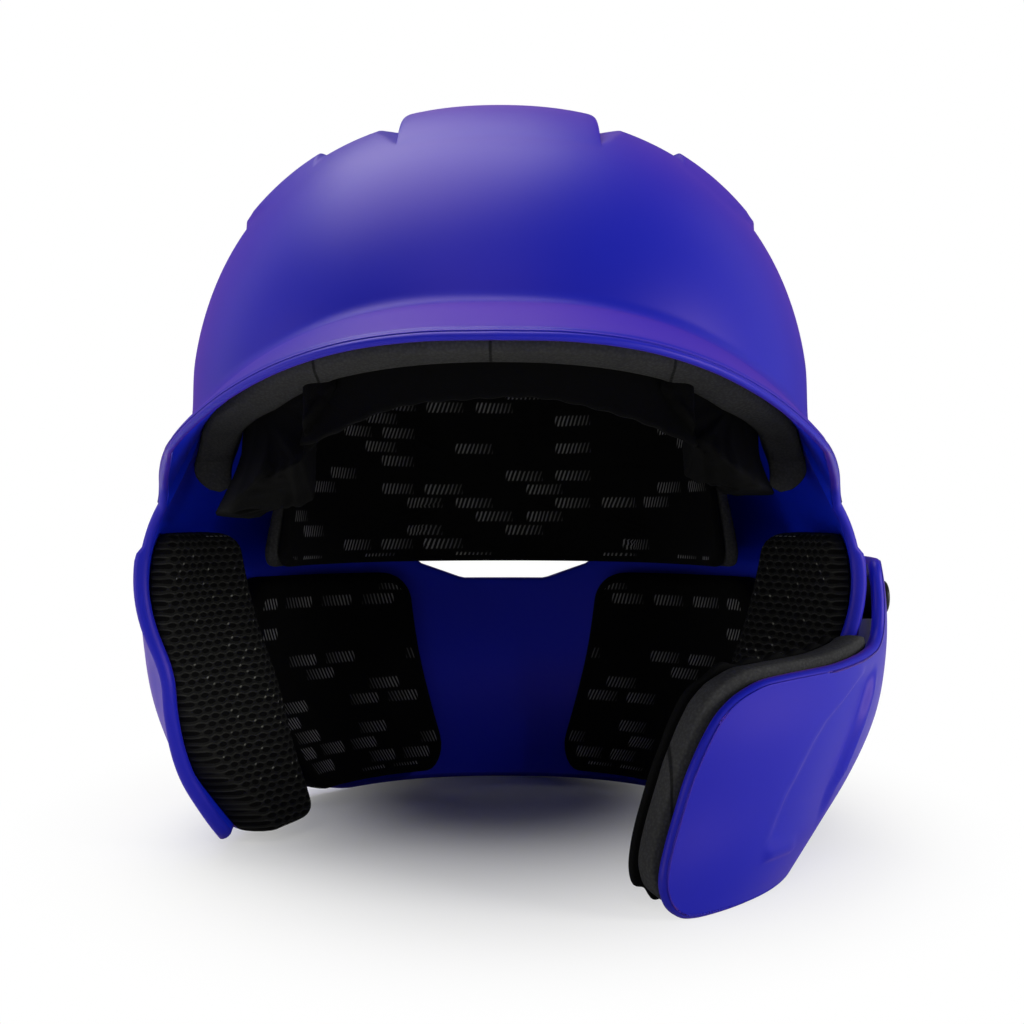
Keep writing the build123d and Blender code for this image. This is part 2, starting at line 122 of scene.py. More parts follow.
# The room is dim on the helmet itself and white to the camera.
world = bpy.data.worlds.new("studio")
scene.world = world
world.use_nodes = True
tree = world.node_tree
tree.nodes.clear()
path = add(tree, "ShaderNodeLightPath")
seen = add(tree, "ShaderNodeMath", {"operation": "MAXIMUM"}, {
    0: path.outputs["Is Camera Ray"], 1: path.outputs["Is Transmission Ray"]})
room = add(tree, "ShaderNodeBackground", sockets={"Color": linear("#FFFFFF"), "Strength": 0.08})
backdrop = add(tree, "ShaderNodeBackground", sockets={"Color": linear("#FFFFFF"), "Strength": 1.0})
choice = add(tree, "ShaderNodeMixShader", sockets={0: seen, 1: room, 2: backdrop})
add(tree, "ShaderNodeOutputWorld", sockets={"Surface": choice})

# Each lamp: name, place, the place it faces, width and height in metres, and power in watts.
for name, place, aim, width, height, power in (
        ("top_light", (-0.33, 0.16, 1.28), (0, 0, 0.18), 1.1, 1.0, 14.0),
        ("right_front", (1.15, -0.52, 0.36), (0.05, -0.05, 0.06), 0.5, 0.5, 10.0),
        ("front_fill", (-0.20, -1.25, 1.15), (0, -0.05, 0.12), 0.8, 0.5, 3.2),
        ("left_front", (-1.35, -0.72, 0.12), (0.06, -0.02, 0.12), 0.4, 0.4, 3.6),
        ("left_side", (-1.15, -0.30, 0.35), (-0.08, -0.03, 0.06), 0.25, 0.5, 1.4),
        ("right_strip", (0.95, 0.45, 0.55), (0, 0, 0.12), 0.3, 1.1, 0.6),
        ("left_strip", (-0.95, 0.45, 0.55), (0, 0, 0.12), 0.3, 1.1, 0.8)):
    data = bpy.data.lights.new(name, "AREA")
    data.shape = "RECTANGLE"
    data.size = width
    data.size_y = height
    data.energy = power
    lamp = bpy.data.objects.new(name, data)
    lamp.location = place
    lamp.rotation_euler = (Vector(aim) - Vector(place)).to_track_quat("-Z", "Y").to_euler()
    scene.collection.objects.link(lamp)


# ---------------------------------------------------------------- shell
# One shell of satin blue ABS, injection moulded with its brim and both ear flaps in one piece.
# The pads are glued inside it and the jaw guard is bolted to its left flap.
SHOULDER = 135.0
PLAN_POWER = 2.2
DOME_POWER = 2.25
# Each row: height, half width, middle, and reach to the front and to the rear of a level section.
LEVELS = np.array([
    (0.0, 87.5, -5.0, 100.0, 104.0),
    (14.0, 97.0, -6.0, 92.0, 110.0),
    (28.0, 106.0, -8.0, 82.0, 115.0),
    (46.0, 114.0, -10.0, 70.0, 119.0),
    (64.0, 117.5, -10.0, 72.0, 122.0),
    (88.0, 117.0, -8.0, 112.0, 124.0),
    (104.0, 113.5, -4.0, 135.0, 124.5),
    (120.0, 107.0, 0.0, 130.0, 123.5),
])
# The dome over the shoulder: half width, middle, reach to the front and to the rear, and its rise.
DOME = (101.8, 3.0, 125.0, 122.0)
DOME_RISE = 104.2


def smooth(t, knots, values):
    """Value at t of a cubic through the values at the knots: each end of a span weighs its own value
    and slope by the Hermite polynomials, and a knot's slope is taken from its neighbours."""
    knots = np.asarray(knots, float)
    values = np.asarray(values, float)
    slopes = np.gradient(values, knots, axis=0)
    t = np.asarray(t, float)
    k = np.clip(np.searchsorted(knots, t, side="right") - 1, 0, len(knots) - 2)
    step = knots[k + 1] - knots[k]
    s = (t - knots[k]) / step
    if values.ndim > 1:
        s = s[..., None]
        step = step[..., None]
    return ((2 * s**3 - 3 * s**2 + 1) * values[k] + (s**3 - 2 * s**2 + s) * step * slopes[k]
            + (3 * s**2 - 2 * s**3) * values[k + 1] + (s**3 - s**2) * step * slopes[k + 1])


def level_rows(inset):
    """Level sections moved inward, then those of the dome: at each angle the plan shrinks by the
    cosine and the height rises by the sine, both to the power of the superellipse."""
    rows = LEVELS.copy()
    rows[:, 1] -= inset
    rows[:, 3:] -= inset
    dome = []
    for angle in (0, 10, 20, 30, 40, 50, 60, 69, 77, 83, 87, 90):
        t = math.radians(angle)
        s = max(math.cos(t), 0.0) ** (2 / DOME_POWER)
        height = SHOULDER + (DOME_RISE - inset) * math.sin(t) ** (2 / DOME_POWER)
        half, middle, front, rear = DOME
        dome.append((height, (half - inset) * s, middle, (front - inset) * s, (rear - inset) * s))
    return np.vstack([rows, dome])


def dome_scale(z, inset):
    """Share of the dome's plan size left at heights z: one less the rise to the dome's power, and
    of that the root of the same power."""
    up = np.clip((z - SHOULDER) / (DOME_RISE - inset), 0, 1)
    return (1 - up ** DOME_POWER) ** (1 / DOME_POWER)


def section_at(z, inset):
    """Half width, middle, front and rear reach at heights z, by a cubic through the level rows low
    down and by the dome's own curve higher up."""
    rows = level_rows(inset)
    fine = np.linspace(0, len(rows) - 1, 1200)
    table = smooth(fine, np.arange(len(rows)), rows)
    order = np.maximum.accumulate(table[:, 0])
    sides = [np.interp(z, order, table[:, c]) for c in (1, 2, 3, 4)]
    scale = dome_scale(z, inset)
    half, middle, front, rear = DOME
    dome = [(half - inset) * scale, middle + 0 * scale, (front - inset) * scale, (rear - inset) * scale]
    return [np.where(z > rows[len(LEVELS) + 2, 0], d, t) for d, t in zip(dome, sides)]


def dome_height(x, y, rise=0.0, pull=0.0, narrow=0.0):
    """Height of the dome over a place in plan: the place's distance out is measured as a
    superellipse, and the height falls with it as another. rise lifts the crown, pull shortens
    the reach and narrow takes from the half width."""
    half, middle, front, rear = DOME
    reach = np.where(y > middle, rear, front) - pull
    out = (np.abs(x) / (half - narrow)) ** PLAN_POWER + (np.abs(y - middle) / reach) ** PLAN_POWER
    size = out ** (1 / PLAN_POWER)
    return SHOULDER + (DOME_RISE + rise) * np.clip(1 - size ** DOME_POWER, 0, 1) ** (1 / DOME_POWER)


def around(theta, z, inset):
    """Points of the surface at plan angles theta and heights z: width and length go with the cosine
    and the sine to the power of the plan's superellipse."""
    half, middle, front, rear = section_at(z, inset)
    c, s = np.cos(theta), np.sin(theta)
    reach = np.where(s > 0, rear, front)
    x = half * np.sign(c) * np.abs(c) ** (2 / PLAN_POWER)
    y = middle + reach * np.sign(s) * np.abs(s) ** (2 / PLAN_POWER)
    return np.stack([x, y, z + 0 * x], -1)


def at_side(y, z, inset, side):
    """Points of the surface on one side at lengths y and heights z: the half width times the root
    of what the length leaves of the superellipse."""
    half, middle, front, rear = section_at(z, inset)
    reach = np.where(y > middle, rear, front)
    ratio = np.clip(np.abs(y - middle) / reach, 0, 0.9999)
    x = side * half * (1 - ratio ** PLAN_POWER) ** (1 / PLAN_POWER)
    return np.stack([x, y + 0 * x, z + 0 * x], -1)


def ease(t):
    """Smooth step from 0 to 1: three times the square less twice the cube."""
    t = np.clip(t, 0, 1)
    return t * t * (3 - 2 * t)


def run_length(line):
    """Distance along a line from its first point to each point: the running sum of its steps."""
    return np.concatenate([[0], np.cumsum(np.linalg.norm(np.diff(line, axis=0), axis=1))])


def evenly(line, count):
    """Closed outline drawn again with that many points at even distances along it."""
    closed = np.vstack([line, line[:1]])
    length = run_length(closed)
    even = np.linspace(0, length[-1], count + 1)[:-1]
    return np.stack([np.interp(even, length, closed[:, c]) for c in (0, 1)], 1)


def anticlockwise(line):
    """Outline in the order that gives it a positive area, by the sum of its cross products."""
    area = np.sum(line[:, 0] * np.roll(line[:, 1], -1) - line[:, 1] * np.roll(line[:, 0], -1))
    return line if area > 0 else line[::-1]


def rounded(corners, radius, step=1.5):
    """Closed outline with a round arc at every corner, whose centre lies on the line that halves
    the corner, and with its points evenly spaced."""
    corners = np.array(corners, float)
    run = []
    for k in range(len(corners)):
        here = corners[k]
        back = corners[k - 1] - here
        ahead = corners[(k + 1) % len(corners)] - here
        back /= np.linalg.norm(back)
        ahead /= np.linalg.norm(ahead)
        half_angle = math.acos(np.clip(back @ ahead, -1, 1)) / 2
        cut = radius / math.tan(half_angle)
        middle = here + (back + ahead) / np.linalg.norm(back + ahead) * radius / math.sin(half_angle)
        start, end = here + back * cut - middle, here + ahead * cut - middle
        for part in np.linspace(0, 1, 9):
            way = start * (1 - part) + end * part
            run.append(middle + way / np.linalg.norm(way) * radius)
    run = np.array(run)
    length = run_length(np.vstack([run, run[:1]]))[-1]
    return anticlockwise(evenly(run, int(length / step)))


def grid_quads(rows, columns, closed, start=0):
    """Quads between neighbouring points of a grid numbered from start. closed joins the last
    column to the first."""
    index = np.arange(rows * columns).reshape(rows, columns) + start
    if closed:
        index = np.hstack([index, index[:, :1]])
    return np.stack([index[:-1, :-1], index[:-1, 1:], index[1:, 1:], index[1:, :-1]], -1).reshape(-1, 4)


def weld_grids(grids):
    """Points and quads of several grids that share their edges: points alike to a micrometre
    become one."""
    points = []
    quads = []
    start = 0
    for grid, closed in grids:
        quads.append(grid_quads(*grid.shape[:2], closed, start))
        points.append(grid.reshape(-1, 3))
        start += len(points[-1])
    points = np.vstack(points)
    _, first, same = np.unique(np.round(points, 3), axis=0, return_index=True, return_inverse=True)
    return points[first], same.ravel()[np.vstack(quads)]


def edge_pairs(quads):
    """Edges that only one face uses, as pairs of points in that face's order."""
    pairs = np.vstack([quads[:, [0, 1]], quads[:, [1, 2]], quads[:, [2, 3]], quads[:, [3, 0]]])
    pairs = pairs[pairs[:, 0] != pairs[:, 1]]
    key = np.sort(pairs, axis=1)
    _, place, count = np.unique(key, axis=0, return_inverse=True, return_counts=True)
    return pairs[count[place.ravel()] == 1]


def cut_hole(points, quads, inside, nearest):
    """Take away the quads whose middle is inside, and move the new edge onto the hole's outline."""
    before = np.unique(edge_pairs(quads))
    gone = inside(points[quads].mean(1))
    quads = quads[~gone]
    ring = np.setdiff1d(np.unique(edge_pairs(quads)), before)
    points = points.copy()
    points[ring] = nearest(points[ring])
    return points, quads


def point_normals(points, quads):
    """Unit normal at every point: the sum of its quads' crossed diagonals, brought to length one."""
    a, b, c, d = (points[quads[:, k]] for k in range(4))
    face = np.cross(c - a, d - b)
    total = np.zeros_like(points)
    for k in range(4):
        np.add.at(total, quads[:, k], face)
    return total / np.maximum(np.linalg.norm(total, axis=1), 1e-9)[:, None]


def welded(piece, distance=0.01):
    """Join points of the mesh that lie together, in millimetres, and drop faces left with no area."""
    work = bmesh.new()
    work.from_mesh(piece.data)
    bmesh.ops.remove_doubles(work, verts=work.verts, dist=distance * MM)
    bmesh.ops.dissolve_degenerate(work, edges=work.edges, dist=distance * MM * 0.1)
    bmesh.ops.recalc_face_normals(work, faces=work.faces)
    work.to_mesh(piece.data)
    work.free()
    return piece


def thick_piece(name, points, quads, wall, relief, rib, bulge=1.0):
    """Wall between the surface moved out along its normal by relief and moved in by wall and rib.
    Every free edge gets a half round rim: the cosine runs through the wall and the sine out of it."""
    normal = point_normals(points, quads)
    outer = points + normal * relief[:, None]
    inner = points - normal * (wall + rib)[:, None]
    pairs = edge_pairs(quads)
    rim = np.unique(pairs)
    along = np.zeros_like(points)
    np.add.at(along, pairs[:, 0], points[pairs[:, 1]] - points[pairs[:, 0]])
    np.add.at(along, pairs[:, 1], points[pairs[:, 1]] - points[pairs[:, 0]])
    out = np.cross(along[rim], normal[rim])
    out /= np.maximum(np.linalg.norm(out, axis=1), 1e-9)[:, None]
    outer[rim] -= out * bulge
    inner[rim] -= out * bulge
    middle = (outer[rim] + inner[rim]) / 2
    half = (outer[rim] - inner[rim]) / 2
    steps = np.linspace(0, math.pi, 8)[1:-1]
    rings = [middle + half * math.cos(a) + out * (bulge * RIM_ROUND * math.sin(a)) for a in steps]
    count = len(points)
    place = np.full(count, -1)
    place[rim] = np.arange(len(rim))
    levels = [lambda p: p]
    levels += [lambda p, k=k: 2 * count + k * len(rim) + place[p] for k in range(len(steps))]
    levels.append(lambda p: p + count)
    faces = [quads, quads[:, ::-1] + count]
    for low, high in zip(levels[:-1], levels[1:]):
        faces.append(np.stack([low(pairs[:, 1]), low(pairs[:, 0]), high(pairs[:, 0]), high(pairs[:, 1])], -1))
    faces = np.vstack(faces)
    mesh = bpy.data.meshes.new(name)
    mesh.from_pydata((np.vstack([outer, inner] + rings) * MM).tolist(), [],
                     [list(dict.fromkeys(face)) for face in faces.tolist() if len(set(face)) > 2])
    mesh.polygons.foreach_set("use_smooth", np.ones(len(mesh.polygons), bool))
    inside = np.zeros(len(mesh.vertices))
    inside[count:2 * count] = 1
    mesh.attributes.new("inside", "FLOAT", "POINT").data.foreach_set("value", inside)
    piece = bpy.data.objects.new(name, mesh)
    scene.collection.objects.link(piece)
    return welded(piece, 0.002)


WALL = 3.2
RIM_ROUND = 1.6
BRIM_ROOT = (163.4, -118.0)
BRIM_SLOPE = 0.296
SPINE_HALF, CHANNEL, PANEL = 29.0, 8.0, 55.0
PANEL_LOW = 200.0
# Plan of the crown grid: lines close together beside the spine, the channels and the side panels.
across = np.concatenate([np.arange(0, 24, 2.4), [
    24.6, 26.2, 27.2, 27.9, 28.4, 28.75, 28.95, 29.05, 29.2, 29.6, 30.4, 31.4, 32.6, 33.8, 35.0, 36.0,
    36.6, 37.2, 38.2, 40, 42.4, 44.8, 47.2, 49.6, 51.6, 53.2, 54.4, 55.0, 55.5, 56.2, 57.6, 60.0]])
across = np.concatenate([-across[:0:-1], across])
lengthwise = np.concatenate([np.arange(-92, -60, 1.3), np.arange(-60, 80, 2.0)])
plan_x, plan_y = np.meshgrid(across, lengthwise)
plan_y = np.where(plan_y < 0, plan_y * (1 - 0.25 * (plan_x / 60) ** 2), plan_y)
crown = np.stack([plan_x, plan_y, dome_height(plan_x, plan_y)], -1)
middle_line = len(across) // 2
border = np.vstack([crown[0, middle_line:-1], crown[:-1, -1], crown[-1, :0:-1], crown[:0:-1, 0],
                    crown[0, :middle_line]])


def plan_angle(x, y, z):
    """Plan angle of a place on the surface, from its width and length as shares of the half width
    and the reach."""
    half, middle, front, rear = section_at(z, 0.0)
    power = PLAN_POWER / 2
    reach = np.where(y > middle, rear, front)
    c = np.sign(x) * (np.abs(x) / half) ** power
    s = np.sign(y - middle) * (np.abs(y - middle) / reach) ** power
    return np.arctan2(s, c)


turn = np.unwrap(plan_angle(border[:, 0], border[:, 1], border[:, 2]))
turn -= turn[0] + math.pi / 2
columns = len(turn)

# Front edge of the flap in side view, and the corner where it turns into the brim.
FLAP_EDGE = np.array([(0, -25), (9, -32), (27, -40), (48, -44.5), (70, -46), (90, -46), (104, -47),
                      (112, -50)], float)
CORNER_Z = 112.0


def edge_angle(z):
    """Plan angle of the flap's front edge at heights z, by the arc sine of its share of the reach."""
    y = smooth(z, FLAP_EDGE[:, 0], FLAP_EDGE[:, 1])
    half, middle, front, rear = section_at(z, 0.0)
    return -np.arcsin(((middle - y) / front) ** (PLAN_POWER / 2))


corner_angle = float(edge_angle(np.array(CORNER_Z)))
corner = int(np.argmin(np.abs(turn - corner_angle)))
order = np.arange(columns)
TO_CORNER = [0.0, 0.6, 0.8, 0.9, 1.0]
share = smooth(np.linspace(0, 1, corner + 1), TO_CORNER, [0.0, 0.66, 0.87, 0.965, 1.0])
front_turn = -math.pi / 2 + (corner_angle + math.pi / 2) * share
side_turn = np.linspace(corner_angle, math.pi - corner_angle, columns - 2 * corner + 1)
low_turn = np.concatenate([front_turn[:-1], side_turn, (math.pi - front_turn)[:0:-1][1:]])


def arch(x, y):
    """Height of the brim's top: a straight line that falls to the front, less an arch that grows
    to the sides with the width to the power 2.5."""
    return BRIM_ROOT[0] + BRIM_SLOPE * (y - BRIM_ROOT[1]) - 7.0 * (np.abs(x) / 44.0) ** 2.5


# The brim's root: where its top meets the dome, found by halving the way there again and again, and
# brought down to the flap's corner over the last columns. Its fillet dies out there.
from_corner = 1 - np.clip(np.minimum(order, columns - order), 0, corner) / corner
root_z = np.full(columns, 140.0)
for _ in range(30):
    place_now = around(low_turn, root_z, 0.0)
    root_z = 0.5 * root_z + 0.5 * np.clip(arch(place_now[:, 0], place_now[:, 1]), CORNER_Z, 170)
front_part = (order <= corner) | (order >= columns - corner)
at_corner = root_z[corner]
root_z = root_z - (at_corner - CORNER_Z) * (1 - ease(from_corner / 0.08))
root_z = np.where(front_part, root_z, CORNER_Z)
fillet = np.where(front_part, 3.5 * ease(from_corner / 0.4), 0.0)

# A collar joins the crown grid to a level ring below the side panels, and rows run from that ring
# down to the brim's root and to the corner's level at the sides and the back.
PANEL_RING = PANEL_LOW - 4.0
ring_high = around(turn, np.full(columns, PANEL_RING), 0.0)
spread = np.linspace(0, 1, 15)[:, None, None]
collar = border[None] * (1 - spread) + ring_high[None] * spread
collar[..., 2] = dome_height(collar[..., 0], collar[..., 1])
collar[0] = border
steps = np.linspace(0, 1, 37)[:, None]
upper_z = PANEL_RING + (root_z + fillet - PANEL_RING)[None] * steps
upper_turn = turn[None] + (low_turn - turn)[None] * ease(steps)
upper = around(upper_turn, upper_z, 0.0)
collar[-1] = upper[0]

# Brim: from its root on the forehead to its front edge, the two meeting at the flap's corner.
oval = np.radians(np.arange(0, 61, 10.0))
edge_x = 101.0 * np.sin(oval)
edge_y = -50.0 - 115.0 * np.cos(oval)
edge_line = np.stack([edge_x, edge_y, arch(edge_x, edge_y)], -1)
corner_point = around(np.array([corner_angle]), np.array([CORNER_Z]), 0.0)[0]
edge_line = np.vstack([edge_line, [(92.6, -91.0, 126.2), (96.8, -78.0, 123.4), (101.0, -64.0, 120.0),
                                   (103.4, -55.0, 116.8), corner_point]])
chord = run_length(edge_line)
share = smooth(np.linspace(0, 1, corner + 1), TO_CORNER, [0.0, 0.62, 0.84, 0.94, 1.0])
half_edge = smooth(share * chord[-1], chord, edge_line)
half_edge[-1] = corner_point
mirrored = half_edge[:0:-1] * (-1, 1, 1)
front_columns = np.concatenate([order[columns - corner:], order[:corner + 1]])
brim_edge = np.vstack([mirrored, half_edge])
root = around(low_turn, root_z, 0.0)[front_columns]
root[0], root[-1] = brim_edge[0], brim_edge[-1]
reach = np.linalg.norm(brim_edge - root, axis=1)
radius = np.minimum(fillet[front_columns], reach * 0.45)
on_dome = upper[-1][front_columns]


def on_brim(distance):
    """Points of the brim's top that far from its root: on the straight line to the edge, raised
    onto the arch where the brim is wide."""
    part = (distance / np.maximum(reach, 1e-6))[:, None]
    line = root * (1 - part) + brim_edge * part
    lift = (root[:, 2] - arch(root[:, 0], root[:, 1])) * (1 - part[:, 0])
    lift += (brim_edge[:, 2] - arch(brim_edge[:, 0], brim_edge[:, 1])) * part[:, 0]
    height = arch(line[:, 0], line[:, 1]) + lift
    blend = ease((reach - 12.0) / 14.0)
    line[:, 2] = line[:, 2] * (1 - blend) + height * blend
    return line


off_brim = on_brim(radius)
rows = [on_dome * (1 - t) ** 2 + root * 2 * t * (1 - t) + off_brim * t * t for t in np.linspace(0, 1, 10)]
left_over = reach - radius
EDGE_BAND = 5.4
for part in np.linspace(0, 1, 14)[1:-1]:
    rows.append(on_brim(radius + np.maximum(left_over - EDGE_BAND, left_over * 0.5) * part))
for gap in (4.6, 3.8, 3.3, 2.9, 2.5, 2.1, 1.7, 1.2, 0.6, 0.0):
    rows.append(on_brim(reach - np.minimum(gap, left_over * 0.5 * gap / EDGE_BAND)))
brim = np.stack(rows)

# Flaps and back: level rows from the corner down, between the two front edges.
side_columns = order[corner:columns - corner + 1]
share = (low_turn[side_columns] - corner_angle) / (math.pi - 2 * corner_angle)
bottom = around(low_turn[side_columns], np.zeros(len(side_columns)), 0.0)[:, 1]
low_z = 4.0 * np.sin(np.clip((bottom - 22) / 48, 0, 1) * math.pi) ** 2
low_z += 5.0 * np.clip(1 - (bottom + 25) / 10, 0, 1) ** 2
skirt = []
for part in np.linspace(0, 1, 50):
    z = CORNER_Z + (low_z - CORNER_Z) * part
    start = edge_angle(z)
    skirt.append(around(start + (math.pi - 2 * start) * share, z, 0.0))
skirt = np.stack(skirt)
skirt[0] = upper[-1][side_columns]

grids = [(crown[:, ::-1], False), (collar, True), (upper, True), (brim, False), (skirt, False)]
points, quads = weld_grids(grids)
quads = quads[:, ::-1]

# Ear holes and the rear slot, punched through the wall.
EAR_Y, EAR_Z, EAR_R = 24.0, 64.0, 14.0
SLOT_LOW, SLOT_HIGH, SLOT_WIDE, SLOT_FLAT, SLOT_RISE = 81.6, 106.0, 38.0, 18.0, 0.35
slot_side = SLOT_LOW + (SLOT_WIDE - SLOT_FLAT) * SLOT_RISE
slot_line = rounded([(-SLOT_WIDE, slot_side), (-SLOT_FLAT, SLOT_LOW), (SLOT_FLAT, SLOT_LOW),
                     (SLOT_WIDE, slot_side), (SLOT_WIDE, SLOT_HIGH), (-SLOT_WIDE, SLOT_HIGH)], 2.5, 0.5)


def in_ear_hole(p):
    """Whether places lie on a flap and nearer to its ear hole's middle than the hole's radius."""
    return (np.hypot(p[:, 1] - EAR_Y, p[:, 2] - EAR_Z) < EAR_R) & (np.abs(p[:, 0]) > 60)


def onto_ear_hole(p):
    """Nearest places on the ear holes' edges: the way from the middle brought to the radius."""
    away = np.hypot(p[:, 1] - EAR_Y, p[:, 2] - EAR_Z)
    y = EAR_Y + (p[:, 1] - EAR_Y) / away * EAR_R
    z = EAR_Z + (p[:, 2] - EAR_Z) / away * EAR_R
    return at_side(y, z, 0.0, np.sign(p[:, 0]))


def in_slot(p):
    """Whether places lie on the back within the slot, whose low edge rises to the sides."""
    x, z = p[:, 0], p[:, 2]
    low = SLOT_LOW + np.maximum(np.abs(x) - SLOT_FLAT, 0) * SLOT_RISE
    return (p[:, 1] > 60) & (np.abs(x) < SLOT_WIDE) & (z > low) & (z < SLOT_HIGH)


def onto_slot(p):
    """Places of the slot's outline nearest in width and height, put back on the surface."""
    gap = np.linalg.norm(p[:, None, [0, 2]] - slot_line[None], axis=2)
    near = slot_line[gap.argmin(1)]
    half, middle, front, rear = section_at(near[:, 1], 0.0)
    y = middle + rear * (1 - (np.abs(near[:, 0]) / half) ** PLAN_POWER) ** (1 / PLAN_POWER)
    return np.stack([near[:, 0], y, near[:, 1]], -1)


points, quads = cut_hole(points, quads, in_ear_hole, onto_ear_hole)
points, quads = cut_hole(points, quads, in_slot, onto_slot)

# Relief of the outer face: raised spine, V channels beside it, raised side panels, rolled flap edge.
# A thin line and a soft roll follow the brim's edge, and ribs inside carry the wall past the channels.
# BEND is the round of the spine's shoulders, and the other values are depths.
BEND = 2.6
SPINE_RISE, CHANNEL_DEEP, PANEL_RISE, GROOVE = 3.0, 3.7, 1.7, 1.2
FLAP_ROLL, EDGE_LINE, BRIM_ROLL, BRIM_THIN = 1.5, 0.35, 0.7, 1.1
x, y, z = points.T
wide = np.abs(x)
on_top = ease((z - 150) / 30)
raised = np.clip(dome_height(x, y, SPINE_RISE, 4.0) - dome_height(x, y), 0, None) * on_top
side_wall = np.sqrt(np.clip(1 - ((wide - SPINE_HALF + BEND) / BEND) ** 2, 0, 1)) * 0.45 + 0.55
profile = np.where(wide < SPINE_HALF - BEND, 1.0, side_wall)
spine = raised * np.where(wide <= SPINE_HALF, profile, 0.0)
front_run = np.clip((y + 80) / 22, 0, 1) ** 0.7 * np.clip((84 - y) / 22, 0, 1) ** 0.7
width_now = np.maximum(CHANNEL * front_run, 0.01)
channel = CHANNEL_DEEP * front_run * np.clip(1 - (wide - SPINE_HALF) / width_now, 0, 1) * (wide > SPINE_HALF)
panel = PANEL_RISE * ease((wide - PANEL + 0.6) / 1.2) * ease((z - PANEL_LOW) / 1.2)
panel *= ease((y + 66) / 26) * ease((70 - y) / 4)
below = GROOVE * np.exp(-((z - PANEL_LOW + 1.6) / 1.3) ** 2) * (wide > 70)
below *= ease((y + 40) / 20) * ease((70 - y) / 20)
edge_gap = y - smooth(np.clip(z, 0, 112), FLAP_EDGE[:, 0], FLAP_EDGE[:, 1])
roll = FLAP_ROLL * np.clip(1 - edge_gap / 8, 0, 1) ** 2 * ease((98.5 - z) / 2.5) * (z < 100)
to_edge = np.full(len(points), 99.0)
brim_part = (y < -52) & (z > 112) & (z < 172)
sample = points[brim_part]
gap = np.full(len(sample), 99.0)
for k in range(len(brim_edge) - 1):
    run = brim_edge[k + 1] - brim_edge[k]
    part = np.clip(((sample - brim_edge[k]) @ run) / (run @ run), 0, 1)[:, None]
    gap = np.minimum(gap, np.linalg.norm(sample - brim_edge[k] - run * part, axis=1))
to_edge[brim_part] = gap
line = EDGE_LINE * np.exp(-((to_edge - 2.5) / 0.45) ** 2)
brim_roll = BRIM_ROLL * np.clip(1 - to_edge / 6, 0, 1) ** 2 * ease((-75 - y) / 30)
relief = spine - channel + panel - below + roll - line - brim_roll
rib = np.clip(channel - 0.3, 0, None) + brim_roll
rib = rib - BRIM_THIN * ease((9 - to_edge) / 6) * ease((-75 - y) / 30)
shell = thick_piece("shell_moulding", points, quads, WALL, relief, rib)


def moulded_abs(name, colour, shade, within):
    """ABS with the fine spark eroded finish of its mould. The satin face is broken by an orange peel
    0.6 mm fine and clouded over some centimetres. Outside it blooms lilac at a glancing angle. Its inner
    faces are painted a brighter, purer blue, painted light that lifts the shade inside the shell."""
    made, tree = new_material(name)
    where = add(tree, "ShaderNodeTexCoord").outputs["Object"]
    cloud = add(tree, "ShaderNodeTexNoise", sockets={
        "Vector": where, "Scale": 1 / (71.43 * MM), "Detail": 3.0})
    peel = add(tree, "ShaderNodeTexNoise", sockets={
        "Vector": where, "Scale": 1 / (0.625 * MM), "Detail": 2.0})
    skin = add(tree, "ShaderNodeMix", RGBA, {0: cloud, 6: linear(colour), 7: linear(shade)}).outputs[2]
    inside = add(tree, "ShaderNodeAttribute", {"attribute_name": "inside"}).outputs["Fac"]
    # Inner faces take the brighter blue given as within: painted light on the inside walls.
    base = add(tree, "ShaderNodeMix", RGBA, {0: inside, 6: skin, 7: linear(within)}).outputs[2]
    rough = add(tree, "ShaderNodeMath", {"operation": "MULTIPLY_ADD"}, {0: cloud, 1: 0.06, 2: 0.43})
    sheen = add(tree, "ShaderNodeMath", {"operation": "MULTIPLY_ADD"}, {0: inside, 1: -0.11, 2: 0.12})
    bump = add(tree, "ShaderNodeBump", sockets={"Strength": 0.10, "Distance": 0.08 * MM, "Height": peel})
    shader = add(tree, "ShaderNodeBsdfPrincipled", sockets={
        "Base Color": base, "Roughness": rough, "IOR": 1.5, "Specular IOR Level": 0.30,
        "Specular Tint": linear("#FFBFE6"), "Sheen Weight": sheen, "Sheen Roughness": 0.42,
        "Sheen Tint": linear("#FF78CC"), "Normal": bump})
    add(tree, "ShaderNodeOutputMaterial", sockets={"Surface": shader})
    return made


# The last colour is the inner faces' brighter blue, painted light for the inside of the shell.
shell_look = moulded_abs("abs_moulded_blue", "#041BA4", "#071FAE", "#022ADA")
shell.data.materials.append(shell_look)
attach(shell, "root")
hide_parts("shell")


# ---------------------------------------------------------------- brow foam
# One long strip around the inside of the forehead and down to the temples, the first pad glued in.
# Closed cell EVA foam, cut from sheet by a die, with a few kerfs across it where it bends.

# The strip's foot on each side as length and height, its top, the size of its section before it is
# laid, with the part of it at the foot that isn't stretched, and where the kerfs lie across. GLUED is
# the depth of a glued pad's back: the wall and the glue.
SIDE_LINE = np.array([(-125, 151.5), (-110, 149.5), (-95, 145.5), (-77, 138.6), (-47, 133), (-29, 126),
                      (-23, 116), (-20, 109)], float)
BROW_TOP = 184.0
STRIP_THICK, STRIP_TALL, STRIP_FOOT = 12.0, 40.0, 8.0
KERFS = (-1.8, -49.0, 47.0)
GLUED = 3.6


